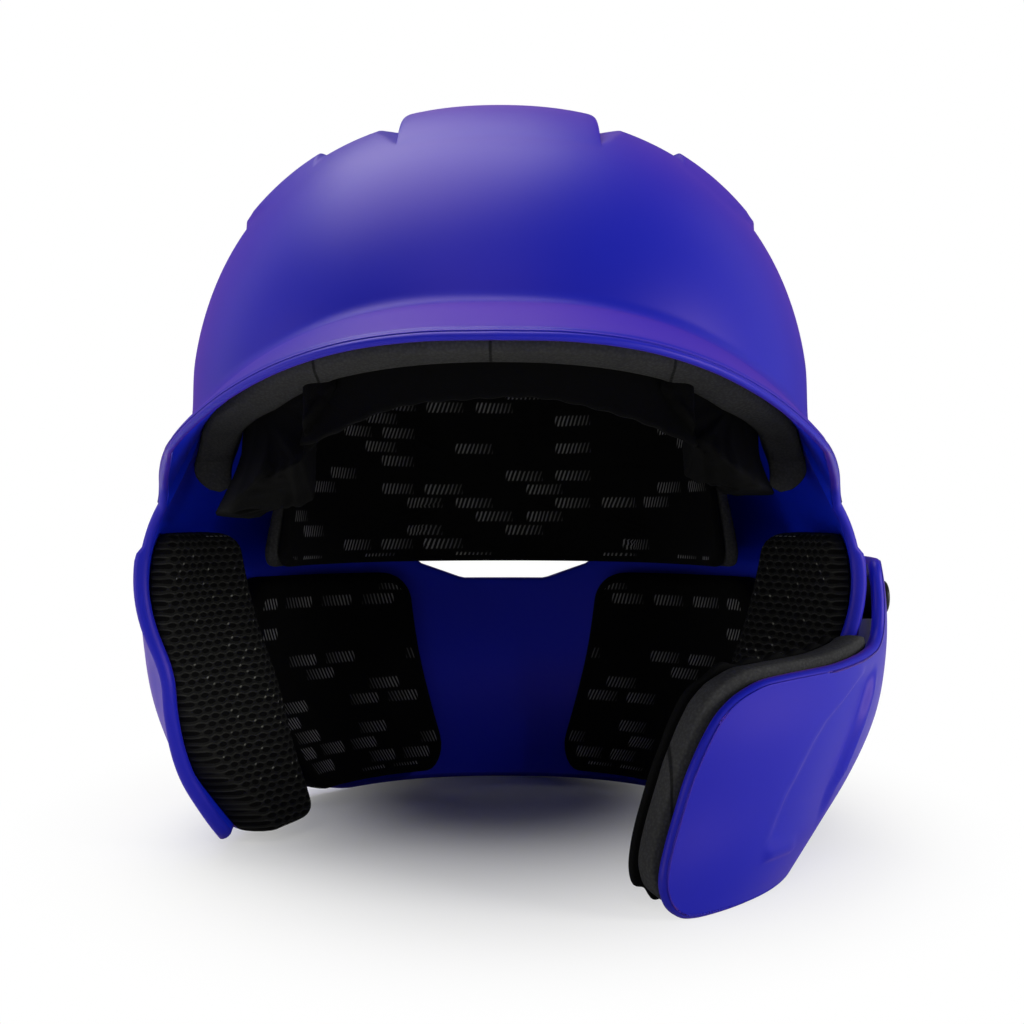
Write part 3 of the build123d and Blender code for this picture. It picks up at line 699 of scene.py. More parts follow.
def ring_piece(name, points, uv=None, marks=None):
    """Closed mesh over rings of points in millimetres, shape (rings, points in a ring, 3): quads
    join each ring to the next, and a fan to its middle closes the first and the last."""
    rings, count = points.shape[:2]
    quads = grid_quads(rings, count, True)
    mesh = bpy.data.meshes.new(name)
    mesh.from_pydata((points.reshape(-1, 3) * MM).tolist(), [], quads.tolist())
    if uv is not None:
        flat = uv.reshape(-1, 2)[quads.reshape(-1)] * MM
        mesh.uv_layers.new(name="UVMap").data.foreach_set("uv", flat.astype(np.float32).ravel())
    for word, value in (marks or {}).items():
        layer = mesh.attributes.new(word, "FLOAT", "POINT")
        layer.data.foreach_set("value", value.astype(np.float32).ravel())
    mesh.polygons.foreach_set("use_smooth", np.ones(len(quads), bool))
    piece = bpy.data.objects.new(name, mesh)
    scene.collection.objects.link(piece)
    work = bmesh.new()
    work.from_mesh(mesh)
    layer = work.loops.layers.uv.active
    verts = list(work.verts)
    for corners in (verts[:count], verts[-count:]):
        face = work.faces.new(corners)
        face.smooth = True
        for loop in face.loops if layer else ():
            beside = [other for other in loop.vert.link_loops if other.face is not face]
            loop[layer].uv = beside[-1][layer].uv.copy()
        bmesh.ops.poke(work, faces=[face])
    work.to_mesh(mesh)
    work.free()
    return welded(piece)


def strip_piece(name, theta, outer, inner, low_line, corner, end_run):
    """Arched strip: its section is laid at every plan angle between the points that outer and inner
    give, its foot on low_line and its top level. corner rounds the section, and over end_run
    radians the ends close in by a square law."""
    section = rounded([(0, 0), (STRIP_THICK, 0), (STRIP_THICK, STRIP_TALL), (0, STRIP_TALL)], corner, 1.1)
    past = (np.abs(theta - theta.mean()) - (theta[-1] - theta[0]) / 2 + end_run) / end_run
    end = 1 - np.clip(past, 0, 1) ** 2 * 0.55
    depth = 0.5 + (section[None, :, 0] / STRIP_THICK - 0.5) * end[:, None]
    part = depth[..., None]
    angle = theta[:, None] + 0 * depth
    z = np.full_like(depth, 140.0)
    rise = section[None, :, 1] + (1 - end[:, None]) * 3.0
    for _ in range(8):
        point = outer(angle, z) * (1 - part) + inner(angle, z) * part
        low = low_line(point)
        stretch = (BROW_TOP - low - STRIP_FOOT) / (STRIP_TALL - STRIP_FOOT)
        z = low + np.minimum(rise, STRIP_FOOT) + np.maximum(rise - STRIP_FOOT, 0.0) * stretch
    return ring_piece(name, outer(angle, z) * (1 - part) + inner(angle, z) * part)


def foam_face(near, far):
    """One face of the brow foam, moved inward by near, and half way to far at its low ends."""
    def face(a, z):
        away = 0.5 * ease((128 - z) / 18)[..., None]
        return around(a, z, near) * (1 - away) + around(a, z, far) * away
    return face


def band(tree, value, low, high, soft_edge):
    """1 where the value lies between low and high: a smooth step up times a smooth step down."""
    up = add(tree, "ShaderNodeMapRange", {"interpolation_type": "SMOOTHSTEP"}, {
        "Value": value, "From Min": low - soft_edge, "From Max": low + soft_edge})
    down = add(tree, "ShaderNodeMapRange", {"interpolation_type": "SMOOTHSTEP"}, {
        "Value": value, "From Min": high + soft_edge, "From Max": high - soft_edge})
    return add(tree, "ShaderNodeMath", {"operation": "MULTIPLY"}, {0: up, 1: down})


def dull(tree, base, height, strength, distance):
    """Surface with no gloss of its own, its relief drawn from a height."""
    bump = add(tree, "ShaderNodeBump", sockets={"Strength": strength, "Distance": distance, "Height": height})
    shader = add(tree, "ShaderNodeBsdfPrincipled", sockets={
        "Base Color": base, "Roughness": 0.9, "Specular IOR Level": 0.12, "Normal": bump})
    add(tree, "ShaderNodeOutputMaterial", sockets={"Surface": shader})


def cut_foam(name):
    """Die cut EVA foam: the cut cells give a dull grey face, unevenly dark over some centimetres, with
    fine pores that are sunk by a bump and darkened by painted shade. The kerfs are painted as thin black
    lines of shade."""
    made, tree = new_material(name)
    where = add(tree, "ShaderNodeTexCoord").outputs["Object"]
    cloud = add(tree, "ShaderNodeTexNoise", sockets={
        "Vector": where, "Scale": 1 / (16.667 * MM), "Detail": 3.0})
    # Real pores are about 0.3 mm wide. They are drawn three times as coarse, so that they show at all.
    pores = add(tree, "ShaderNodeTexVoronoi", sockets={"Vector": where, "Scale": 1 / (0.9091 * MM)})
    pore = add(tree, "ShaderNodeMath", {"operation": "MULTIPLY", "use_clamp": True}, {0: pores, 1: 1.4})
    # Painted shade in the pores: half their mask darkens the grey.
    dark = add(tree, "ShaderNodeMath", {"operation": "MULTIPLY"}, {0: pore, 1: 0.5})
    sunk = add(tree, "ShaderNodeMath", {"operation": "MULTIPLY"}, {0: pore, 1: -1.0})
    along = add(tree, "ShaderNodeSeparateXYZ", sockets={0: where}).outputs["X"]
    # Painted shade in the kerfs' slits: thin near-black lines across the strip.
    kerf_shade = 0.0
    for middle in KERFS:
        cut = band(tree, along, (middle - 0.4) * MM, (middle + 0.4) * MM, 0.2 * MM)
        kerf_shade = add(tree, "ShaderNodeMath", {"operation": "MAXIMUM"}, {0: kerf_shade, 1: cut})
    kerf_shade = add(tree, "ShaderNodeMath", {"operation": "MULTIPLY"}, {0: kerf_shade, 1: 0.75})
    base = linear("#363636")
    for share, colour in ((cloud, "#474747"), (dark, "#1E1E1E"), (kerf_shade, "#050505")):
        base = add(tree, "ShaderNodeMix", RGBA, {0: share, 6: base, 7: linear(colour)}).outputs[2]
    dull(tree, base, sunk, 0.35, 0.3 * MM)
    return made


def soft(piece, look, slot_name, *nodes):
    """Give a soft piece its material and its body, and hide the CAD nodes that it stands in for.
    slot_name is not used.
    """
    piece.data.materials.append(look)
    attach(piece, "root")
    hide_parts(*nodes)


foam_look = cut_foam("eva_foam_die_cut_grey")
t = np.linspace(-1, 1, 241)
theta = -math.pi / 2 + math.radians(81.0) * np.sign(t) * (1 - (1 - np.abs(t)) ** 1.4)
foam = strip_piece("brow_foam_strip", theta, foam_face(GLUED, 15.5), foam_face(15.5, 27.4),
                   lambda p: np.interp(p[..., 1], SIDE_LINE[:, 0], SIDE_LINE[:, 1]), 2.6, 0.03)
soft(foam, foam_look, "eva", "brow_foam")


# ---------------------------------------------------------------- brow liner
# Band of black brushed tricot over a thin foam, sewn to size and glued to the face of the brow foam.
# It touches the forehead, so its inner face follows the space for the head.
HEAD_HALF, HEAD_LONG, HEAD_MIDDLE, HEAD_SHOULDER, HEAD_TOP = 77.0, 98.0, -6.0, 130.0, 220.0


def head_scale(z, grow):
    """Share of the head's plan size left at heights z: one less the rise to the plan's power, and
    of that the root of the same power."""
    up = np.clip((z - HEAD_SHOULDER) / (HEAD_TOP + grow - HEAD_SHOULDER), 0, 0.9999)
    return (1 - up ** PLAN_POWER) ** (1 / PLAN_POWER)


def head_around(theta, z):
    """Points of the space for the head at plan angles theta and heights z: a superellipse whose
    size shrinks with the height."""
    scale = head_scale(z, 0.0)
    c, s = np.cos(theta), np.sin(theta)
    x = HEAD_HALF * scale * np.sign(c) * np.abs(c) ** (2 / PLAN_POWER)
    y = HEAD_MIDDLE + HEAD_LONG * scale * np.sign(s) * np.abs(s) ** (2 / PLAN_POWER)
    return np.stack([x, y, z + 0 * x], -1)


def liner_low(p):
    """Lower edge of the brow liner: an arch that falls with the width to the power 2.3, and two
    small waves along it."""
    fall = 41.0 * (np.abs(p[..., 0]) / 90.0) ** 2.3
    return 139.8 - fall + 0.2 * np.sin(p[..., 0] * 0.9) + 0.3 * np.sin(p[..., 0] * 0.17)


def nap(tree, size):
    """Noise of fibres. Real ones are about 0.02 mm thick, too fine to show, so they are drawn as
    tufts of the given size in millimetres."""
    where = add(tree, "ShaderNodeTexCoord").outputs["Object"]
    return add(tree, "ShaderNodeTexNoise", sockets={"Vector": where, "Scale": 1 / (size * MM), "Detail": 4.0})


def brushed_tricot(name, colour, light):
    """Black polyester tricot with a brushed face: the short nap swallows light, so folds show only
    as a slightly greyer fuzz."""
    made, tree = new_material(name)
    fibre = nap(tree, 0.3846)
    base = add(tree, "ShaderNodeMix", RGBA, {0: fibre, 6: linear(colour), 7: linear(light)}).outputs[2]
    dull(tree, base, fibre, 0.5, 0.3 * MM)
    return made


black_look = brushed_tricot("polyester_tricot_brushed_black", "#020202", "#070707")
theta = np.linspace(-math.pi / 2 - 0.68, -math.pi / 2 + 0.68, 181)
liner = strip_piece("brow_liner_cloth", theta, lambda a, z: around(a, z, 15.8), head_around, liner_low,
                    1.2, 0.12)
soft(liner, black_look, "liner", "brow_liner")


# ---------------------------------------------------------------- temple pads
# Two black cloth pouches, cut and sewn from the same tricot and loosely filled with soft foam.
# They are stitched at the top and hang in folds between the brow foam and the head.

# Each fold: where it starts across, how it slants, how deep it is and how wide. STRAIGHT is the share
# of a pad's depth below its round rim, and POUCH_LEAST the least half width that is left for the head.
FOLDS = ((58.5, 0.25, 2.6, 1.1), (63.5, 0.45, 2.0, 0.9), (54.5, 0.05, 1.8, 0.9), (69.0, 0.5, 1.6, 1.2),
         (76.0, 0.35, 1.2, 1.5))
STRAIGHT, POUCH_LEAST = 0.64, 54.0


def inward(line, distance):
    """Outline moved inward along its own normals, the tangents taken from both neighbours."""
    tangent = np.roll(line, -1, 0) - np.roll(line, 1, 0)
    tangent /= np.linalg.norm(tangent, axis=1)[:, None]
    return line + np.stack([-tangent[:, 1], tangent[:, 0]], 1) * distance


def pad_piece(name, line, place, edge, crown, creases=None):
    """Crowned closed pad. place(a, b, h) gives a point for outline coordinates a, b and depth h,
    0 on the shell and 1 on the face. The sides stand straight, the rim is a quarter circle over
    edge millimetres, and the face swells toward its middle by a square law."""
    middle = line.mean(0)
    inner = inward(line, edge)
    rows = []
    depth = []
    for part in (0.02, 0.25, 0.5, 0.75, 0.95):
        rows.append(middle + (inward(line, 1.2) - middle) * part)
        depth.append(0.0)
    for gap, h in ((1.0, 0.0), (0.3, 0.03), (0.0, 0.12), (-0.2, 0.3), (-0.2, 0.5), (0.0, STRAIGHT)):
        rows.append(inward(line, gap))
        depth.append(h)
    for a in np.linspace(0.1, 1.0, 9) * math.pi / 2:
        rows.append(inward(line, edge * (1 - math.cos(a))))
        depth.append(STRAIGHT + (1 - STRAIGHT) * math.sin(a))
    for part in (0.93, 0.86, 0.78, 0.7, 0.6, 0.5, 0.4, 0.3, 0.2, 0.12, 0.05, 0.012):
        rows.append(middle + (inner - middle) * part)
        depth.append(1.0 + crown * (1 - part**2))
    plan = np.stack(rows)
    h = np.array(depth)[:, None] + 0 * plan[..., 0]
    points = place(plan[..., 0], plan[..., 1], h)
    if creases is not None:
        points = creases(points, plan)
    marks = {"along": run_length(line)[None, :] + 0 * h, "ring": np.arange(len(rows))[:, None] + 0 * h}
    return ring_piece(name, points, plan, marks)


def head_side(y, z, grow, side):
    """Points of the head's space on one side at lengths y and heights z, where grow widens the
    space: the half width times the root of what the length leaves of the superellipse."""
    scale = head_scale(z, grow)
    ratio = np.clip(np.abs(y - HEAD_MIDDLE) / ((HEAD_LONG + grow) * scale), 0, 0.9999)
    x = (HEAD_HALF + grow) * scale * (1 - ratio ** PLAN_POWER) ** (1 / PLAN_POWER)
    return np.stack([side * np.maximum(x, POUCH_LEAST), y + 0 * x, z + 0 * x], -1)


for side, word, low in ((1, "left", 115.0), (-1, "right", 108.0)):
    outline = rounded([(-93, 172), (-93, low + 16), (-72, low + 2), (-26, low), (-26, 172)], 7.0)

    def place_temple(a, b, h, side=side):
        """Straight lines from the foam's inner face to the head, slack by 2.5 mm low at the rear."""
        outer = at_side(a, b, 16.0, side)
        outer[..., 0] -= side * 2.5 * ease((a + 82) / 34) * ease((136 - b) / 12)
        return outer * (1 - h[..., None]) + head_side(a, b, -6.0, side) * h[..., None]

    def hang(points, plan, low=low):
        """Folds that run down the pouch as bell curves, deepest at its front and low edge, beside
        a hem that steps back."""
        x, z = np.abs(points[..., 0]), points[..., 2]
        front = ease((-30 - plan[..., 0]) / 12) * ease((178 - z) / 40)
        hem = 53 + (134 - z) * 0.95
        fold = -4.0 * ease((hem - x) / 1.6) + 1.6 * np.exp(-((x - hem - 1.4) / 1.1) ** 2)
        for start, slope, deep, wide in FOLDS:
            off = (x + (z - low) * slope * 0.4 - start) / wide
            fold += deep * np.exp(-off ** 2) * ease((low + 26 - z) / 10)
        fold += 0.35 * np.sin(z * 0.6 + x * 0.3)
        moved = points.copy()
        moved[..., 1] -= fold * front
        moved[..., 2] -= 0.35 * fold * ease((low + 12 - z) / 8)
        return moved

    pad = pad_piece("temple_pouch_" + word, outline, place_temple, edge=4.0, crown=0.05, creases=hang)
    soft(pad, black_look, "liner", "temple_pad_" + word)


# ---------------------------------------------------------------- crown pads
# Three blocks of the grey EVA foam, die cut from sheet and glued under the dome.
# They lie under the spine and the side panels and leave the channels' ribs free.

# Depth of the pads' backs under the dome, and the least height of their faces.
UNDER, CROWN_LEAST = 3.7, 190.0


def head_height(x, y):
    """Height of the head's space over a place in plan: it falls as a superellipse with the place's
    distance out, itself measured as a superellipse."""
    out = (np.abs(x) / HEAD_HALF) ** PLAN_POWER + (np.abs(y - HEAD_MIDDLE) / HEAD_LONG) ** PLAN_POWER
    return HEAD_SHOULDER + (HEAD_TOP - HEAD_SHOULDER) * np.clip(1 - out, 0, 1) ** (1 / PLAN_POWER)


def place_crown(a, b, h):
    """Straight up from the head, or from the least height of the pads, to the dome moved inward."""
    z = dome_height(a, b, -UNDER, UNDER, UNDER) * (1 - h) + np.maximum(head_height(a, b), CROWN_LEAST) * h
    return np.stack([a, b, z], -1)


for word, low, high in (("centre", -23.3, 23.3), ("left", 43.4, 72.0), ("right", -72.0, -43.4)):
    outline = rounded([(low, -46), (high, -46), (high, 56), (low, 56)], 6.0)
    pad = pad_piece("crown_foam_" + word, outline, place_crown, edge=3.0, crown=0.04)
    soft(pad, foam_look, "eva", "crown_pad_" + word)


# ---------------------------------------------------------------- rear pad
# A wide EVA foam core glued around the back of the head, and a black knit cover bonded on its face.
# Moulded creases let it bend, and its thin ends stand off the shell.

# Where the creases run up the pad. FACE_RING is the ring of a pad's mesh past which its face begins.
REAR_CREASES = (-32.0, 12.0, 56.0)
FACE_RING = 17.5
# Groups of strokes on the knit: their width and height, the shift of every second row, and the
# spacing of the strokes.
GROUP_WIDE, GROUP_HIGH, GROUP_SHIFT, STROKE = 21.0, 5.6, 12.5, 1.75


def ring_angle(shape, s, z):
    """Plan angle of a place s millimetres along a level ring of the shape from the middle of the
    back, found on the ring's running length."""
    theta = np.linspace(-math.pi / 2, 1.5 * math.pi, 721)
    length = run_length(shape(theta, np.full_like(theta, z)))
    zero = np.interp(math.pi / 2, theta, length)
    return np.interp(zero - np.asarray(s), length, theta)


def place_rear(a, b, h, back, face):
    """Straight lines from the shell to the head, a measured around the head. The pad fills them
    from back to face, less bell curves at the creases, and its ends start farther in."""
    theta = ring_angle(head_around, a, 120.0)
    dent = sum(np.exp(-((a - middle - 0.05 * (b - 120)) / 4.5) ** 2) for middle in REAR_CREASES)
    back = back + (0.72 - back) * ease((np.abs(a) - 60) / 45) * (back < 0.5)
    part = (back + (face - back) * h - 0.10 * dent * np.clip(h, 0, 1) ** 2)[..., None]
    return around(theta, b, GLUED) * (1 - part) + head_around(theta, b) * part


def flat_place(tree, wobble):
    """Pad coordinates in millimetres, off by up to wobble as cloth is never laid quite even."""
    uv = add(tree, "ShaderNodeUVMap").outputs["UV"]
    uneven = add(tree, "ShaderNodeTexNoise", sockets={
        "Vector": uv, "Scale": 1 / (7.6923 * MM), "Detail": 2.0})
    shift = add(tree, "ShaderNodeVectorMath", {"operation": "MULTIPLY_ADD"}, {
        0: uneven.outputs["Color"], 1: (wobble * 2 * MM,) * 3, 2: uv})
    split = add(tree, "ShaderNodeSeparateXYZ", sockets={0: shift})
    return [add(tree, "ShaderNodeMath", {"operation": "MULTIPLY"}, {0: split.outputs[k], 1: 1 / MM})
            for k in (0, 1)]


def cells(tree, across, along, wide, high, shift):
    """Brick pattern of cells, every second row moved by shift: the place inside a cell, across and
    along in millimetres, and a number drawn for each cell. Rows and columns are the places divided
    by the cell's size, cut to whole numbers."""
    rows = add(tree, "ShaderNodeMath", {"operation": "DIVIDE"}, {0: along, 1: high})
    row = add(tree, "ShaderNodeMath", {"operation": "FLOOR"}, {0: rows})
    odd = add(tree, "ShaderNodeMath", {"operation": "PINGPONG"}, {0: row, 1: 1.0})
    moved = add(tree, "ShaderNodeMath", {"operation": "MULTIPLY_ADD"}, {0: odd, 1: shift, 2: across})
    columns = add(tree, "ShaderNodeMath", {"operation": "DIVIDE"}, {0: moved, 1: wide})
    column = add(tree, "ShaderNodeMath", {"operation": "FLOOR"}, {0: columns})
    inside = []
    for place, count, size in ((moved, column, wide), (along, row, high)):
        start = add(tree, "ShaderNodeMath", {"operation": "MULTIPLY"}, {0: count, 1: size})
        inside.append(add(tree, "ShaderNodeMath", {"operation": "SUBTRACT"}, {0: place, 1: start}))
    key = add(tree, "ShaderNodeCombineXYZ", sockets={"X": column, "Y": row})
    chance = add(tree, "ShaderNodeTexWhiteNoise", {"noise_dimensions": "2D"}, {"Vector": key})
    return inside[0], inside[1], chance.outputs["Value"]


def where_all(tree, masks):
    """Mask that is 1 only where all the given ones are: their product."""
    both = 1.0
    for mask in masks:
        both = add(tree, "ShaderNodeMath", {"operation": "MULTIPLY"}, {0: both, 1: mask})
    return both


def past_rim(tree):
    """1 on the face of a pad and 0 on its sides, by the number of the mesh's ring."""
    ring = add(tree, "ShaderNodeAttribute", {"attribute_name": "ring"}).outputs["Fac"]
    return add(tree, "ShaderNodeMath", {"operation": "GREATER_THAN"}, {0: ring, 1: FACE_RING})


def warp_knit(name):
    """Black warp knit with grey yarns that surface in staggered groups: on the face each group is
    painted as short slanted strokes that fade along it, the yarns' own grey with a painted highlight."""
    made, tree = new_material(name)
    across, along = flat_place(tree, 0.35)
    u, v, chance = cells(tree, across, along, GROUP_WIDE, GROUP_HIGH, GROUP_SHIFT)
    slant = add(tree, "ShaderNodeMath", {"operation": "MULTIPLY_ADD"}, {0: v, 1: -0.35, 2: u})
    yarns = add(tree, "ShaderNodeMath", {"operation": "DIVIDE"}, {0: slant, 1: STROKE})
    yarn = add(tree, "ShaderNodeMath", {"operation": "FRACT"}, {0: yarns})
    fading = add(tree, "ShaderNodeMapRange", sockets={
        "Value": u, "From Min": 4.0, "From Max": 17.0, "To Min": 1.0, "To Max": 0.2})
    drawn = add(tree, "ShaderNodeMath", {"operation": "GREATER_THAN"}, {0: chance, 1: 0.62})
    # Strokes of grey yarn with a painted highlight that fades along each group, on the pad's face only.
    yarn_and_highlight = where_all(tree, [band(tree, yarn, 0.25, 0.60, 0.12), band(tree, u, 1.5, 17.0, 0.3), fading,
                           band(tree, v, 0.6, 4.6, 0.4), drawn, past_rim(tree)])
    fibre = nap(tree, 0.41667)
    height = add(tree, "ShaderNodeMath", {"operation": "MULTIPLY_ADD"}, {0: yarn_and_highlight, 1: 0.6, 2: fibre})
    base = linear("#050505")
    for share, colour in ((fibre, "#0C0C0C"), (yarn_and_highlight, "#8C8C8A")):
        base = add(tree, "ShaderNodeMix", RGBA, {0: share, 6: base, 7: linear(colour)}).outputs[2]
    dull(tree, base, height, 0.5, 0.4 * MM)
    return made


knit_look = warp_knit("polyester_warp_knit_black")
outline = rounded([(-80, 160), (-84, 145), (-108, 132), (-119, 90.5), (119, 90.5), (108, 132), (84, 145),
                   (80, 160)], 6.0)
pad = pad_piece("rear_pad_foam", outline, lambda a, b, h: place_rear(a, b, np.minimum(h, 1.0), 0.0, 0.86),
                edge=1.5, crown=0.0)
soft(pad, foam_look, "eva", "rear_pad_core")
pad = pad_piece("rear_pad_knit", outline, lambda a, b, h: place_rear(a, b, h, 0.865, 1.0),
                edge=3.0, crown=0.25)
soft(pad, knit_look, "knit", "rear_pad_cover")


# ---------------------------------------------------------------- ear pads
# A wedge of moulded foam on each flap under open black spacer mesh, sewn near its rim.
# Each is glued by its back, its face slanted so that it meets the cheek.

# Each row: height, and how far out the face lies at the pad's front and at its rear.
EAR_FACE = np.array([(-10, 69, 62), (14, 84, 67.5), (28, 91, 72), (46, 97, 77), (72, 102, 85.5),
                     (112, 103, 94)], float)
# Ring of the mesh that carries the stitches and their spacing, and the holes' spacing across and up.
STITCH_RING, STITCH = 14.0, 2.6
HOLE_WIDE, HOLE_HIGH = 4.2, 2.3


def stitched(tree):
    """Row of short stitches along one ring of the pad: 1 over the middle of each stitch's length."""
    ring = add(tree, "ShaderNodeAttribute", {"attribute_name": "ring"}).outputs["Fac"]
    along = add(tree, "ShaderNodeAttribute", {"attribute_name": "along"}).outputs["Fac"]
    stitches = add(tree, "ShaderNodeMath", {"operation": "DIVIDE"}, {0: along, 1: STITCH})
    stitch = add(tree, "ShaderNodeMath", {"operation": "FRACT"}, {0: stitches})
    return where_all(tree, [band(tree, ring, STITCH_RING - 0.25, STITCH_RING + 0.25, 0.1),
                            band(tree, stitch, 0.2, 0.8, 0.12)])


def spacer_mesh(name):
    """Black polyester spacer mesh, warp knitted with open holes: rows of small holes, sunk by the bump
    and painted near black for the shade in them, wavy ribs between them with a faint painted highlight,
    stray painted glints, and grey stitches."""
    made, tree = new_material(name)
    across, along = flat_place(tree, 0.25)
    u, v, chance = cells(tree, across, along, HOLE_WIDE, HOLE_HIGH, HOLE_WIDE / 2)
    away = [add(tree, "ShaderNodeMath", {"operation": "SUBTRACT"}, {0: u, 1: HOLE_WIDE / 2}),
            add(tree, "ShaderNodeMath", {"operation": "SUBTRACT"}, {0: v, 1: 0.9})]
    squares = []
    for off, share in zip(away, (0.58, 1.25)):
        scaled = add(tree, "ShaderNodeMath", {"operation": "MULTIPLY"}, {0: off, 1: share})
        squares.append(add(tree, "ShaderNodeMath", {"operation": "MULTIPLY"}, {0: scaled, 1: scaled}))
    far = add(tree, "ShaderNodeMath", {"operation": "ADD"}, {0: squares[0], 1: squares[1]})
    # Painted shade in the holes: mixed to near black below, and sunk by the bump.
    hole = add(tree, "ShaderNodeMapRange", {"interpolation_type": "SMOOTHSTEP"}, {
        "Value": far, "From Min": 1.0, "From Max": 0.55})
    turn = add(tree, "ShaderNodeMath", {"operation": "MULTIPLY"}, {0: away[0], 1: 2 * math.pi / HOLE_WIDE})
    wave = add(tree, "ShaderNodeMath", {"operation": "COSINE"}, {0: turn})
    level = add(tree, "ShaderNodeMath", {"operation": "MULTIPLY_ADD"}, {0: wave, 1: -0.26, 2: v})
    uv = add(tree, "ShaderNodeUVMap").outputs["UV"]
    uneven = add(tree, "ShaderNodeTexNoise", sockets={"Vector": uv, "Scale": 1 / (2.381 * MM), "Detail": 2.0})
    taut = add(tree, "ShaderNodeMath", {"operation": "MULTIPLY_ADD", "use_clamp": True}, {
        0: uneven, 1: 2.6, 2: -0.65})
    rib = where_all(tree, [band(tree, level, 1.5, 2.0, 0.2), taut])
    # Stray painted glints on the ribs, on the pad's face only.
    drawn = add(tree, "ShaderNodeMath", {"operation": "GREATER_THAN"}, {0: chance, 1: 0.84})
    glint = where_all(tree, [drawn, past_rim(tree), rib, band(tree, u, 0.3, 1.1, 0.15)])
    rear_half = add(tree, "ShaderNodeMath", {"operation": "GREATER_THAN"}, {0: across, 1: -14.0})
    # Painted highlight along the ribs.
    rib_highlight = add(tree, "ShaderNodeMath", {"operation": "MULTIPLY"}, {0: rib, 1: 0.6})
    thread = where_all(tree, [stitched(tree), rear_half])
    fibre = nap(tree, 0.33333)
    base = linear("#101010")
    for share, colour in ((fibre, "#1E1E1C"), (rib_highlight, "#3C3C38"), (hole, "#020202"),
                          (glint, "#8A8A80"), (thread, "#8C8C84")):
        base = add(tree, "ShaderNodeMix", RGBA, {0: share, 6: base, 7: linear(colour)}).outputs[2]
    low = add(tree, "ShaderNodeMath", {"operation": "MULTIPLY"}, {0: fibre, 1: 0.2})
    high = add(tree, "ShaderNodeMath", {"operation": "MULTIPLY_ADD"}, {0: rib, 1: 0.7, 2: low})
    height = add(tree, "ShaderNodeMath", {"operation": "SUBTRACT"}, {0: high, 1: hole})
    dull(tree, base, height, 0.8, 0.8 * MM)
    return made


mesh_look = spacer_mesh("polyester_spacer_mesh_black")
for side, word in ((1, "left"), (-1, "right")):
    outline = rounded([(-19, 4), (-36, 32), (-42, 68), (-40.5, 103), (5, 103), (8, 55), (5, 4)], 7.0)

    def place_ear(a, b, h, side=side):
        """Straight lines from the shell to a face that slants from front to rear, pulled in by 3 mm
        over its rear part."""
        back = at_side(a, b, GLUED, side)
        ahead, behind = np.moveaxis(smooth(b, EAR_FACE[:, 0], EAR_FACE[:, 1:]), -1, 0)
        face_x = ahead + (behind - ahead) * (a + 40) / 48 - 3.0 * ease((a + 20) / 20)
        face = np.stack([side * face_x, a, b], -1)
        return back * (1 - h[..., None]) + face * h[..., None]

    pad = pad_piece("ear_pad_" + word, outline, place_ear, edge=5.0, crown=0.10)
    soft(pad, mesh_look, "mesh", "ear_pad_" + word + "_cover", "ear_pad_" + word + "_core")


# ---------------------------------------------------------------- nape pads
# Two cushions low at the back, one on each side: foam cores under the same black knit.
# The knit is wrapped over the core and glued behind it, and the pad is glued to the shell.
for side, word in ((1, "left"), (-1, "right")):
    outline = rounded([(31.5, 5), (43, 85), (127, 85), (127, 5)], 13.0)

    def place_nape(a, b, h, side=side):
        """Straight lines from the shell to the surface 14 mm farther in, a measured around it."""
        theta = ring_angle(lambda t, z: around(t, z, 3.5), side * a, 50.0)
        return around(theta, b, GLUED) * (1 - h[..., None]) + around(theta, b, 17.5) * h[..., None]

    pad = pad_piece("nape_pad_" + word, outline, place_nape, edge=5.0, crown=0.10)
    soft(pad, knit_look, "knit", "nape_pad_" + word + "_cover", "nape_pad_" + word + "_core")


# ---------------------------------------------------------------- jaw guard
# Separate plate of the same moulded ABS on the wearer's left, curving round from flap to cheek.
# Two screws through rubber spacers hold it off the flap.

# Each row: height, and reach of the guard's level section to the front.
GUARD_ROWS = np.array([(0, 108), (14, 105), (28, 100), (46, 97), (64, 96), (88, 104), (104, 120)], float)
# GUARD_OUT is how far the plate's face stands off the shell's, GUARD_ARC turns its plan angle into
# millimetres of arc, and the rest are its wall and the depths of its relief.
GUARD_OUT = 8.0
GUARD_ARC = 110.0
GUARD_WALL, VALLEY, RIDGE, BOSS = 4.0, 1.5, 0.8, 0.7


def guard_section(z, inset):
    """Half width, middle, front and rear reach of the guard's outer face at heights z: the shell's
    own moved out, save for the front."""
    low = LEVELS[:7]
    z = np.asarray(z, float)
    half = smooth(z, low[:, 0], low[:, 1]) + GUARD_OUT - inset
    middle = smooth(z, low[:, 0], low[:, 2])
    front = smooth(z, GUARD_ROWS[:, 0], GUARD_ROWS[:, 1]) - inset
    rear = smooth(z, low[:, 0], low[:, 4]) + GUARD_OUT - inset
    return half, middle, front, rear


def guard_point(theta, z, inset):
    """Points of the guard's surface, a superellipse at every height as on the shell."""
    half, middle, front, rear = guard_section(z, inset)
    c, s = np.cos(theta), np.sin(theta)
    reach = np.where(s > 0, rear, front)
    return np.stack([half * np.abs(c) ** (2 / PLAN_POWER),
                     middle + reach * np.sign(s) * np.abs(s) ** (2 / PLAN_POWER), z + 0 * c], -1)


def guard_angle(x=None, y=None, z=0.0):
    """Plan angle on the guard of a place given by its width x, by the arc cosine, or by its length
    y, by the arc sine."""
    half, middle, front, rear = guard_section(z, 0.0)
    if x is not None:
        return -math.acos(min(x / half, 1) ** (PLAN_POWER / 2))
    reach = rear if y > middle else front
    return math.copysign(math.asin(min(abs(y - middle) / reach, 1) ** (PLAN_POWER / 2)), y - middle)


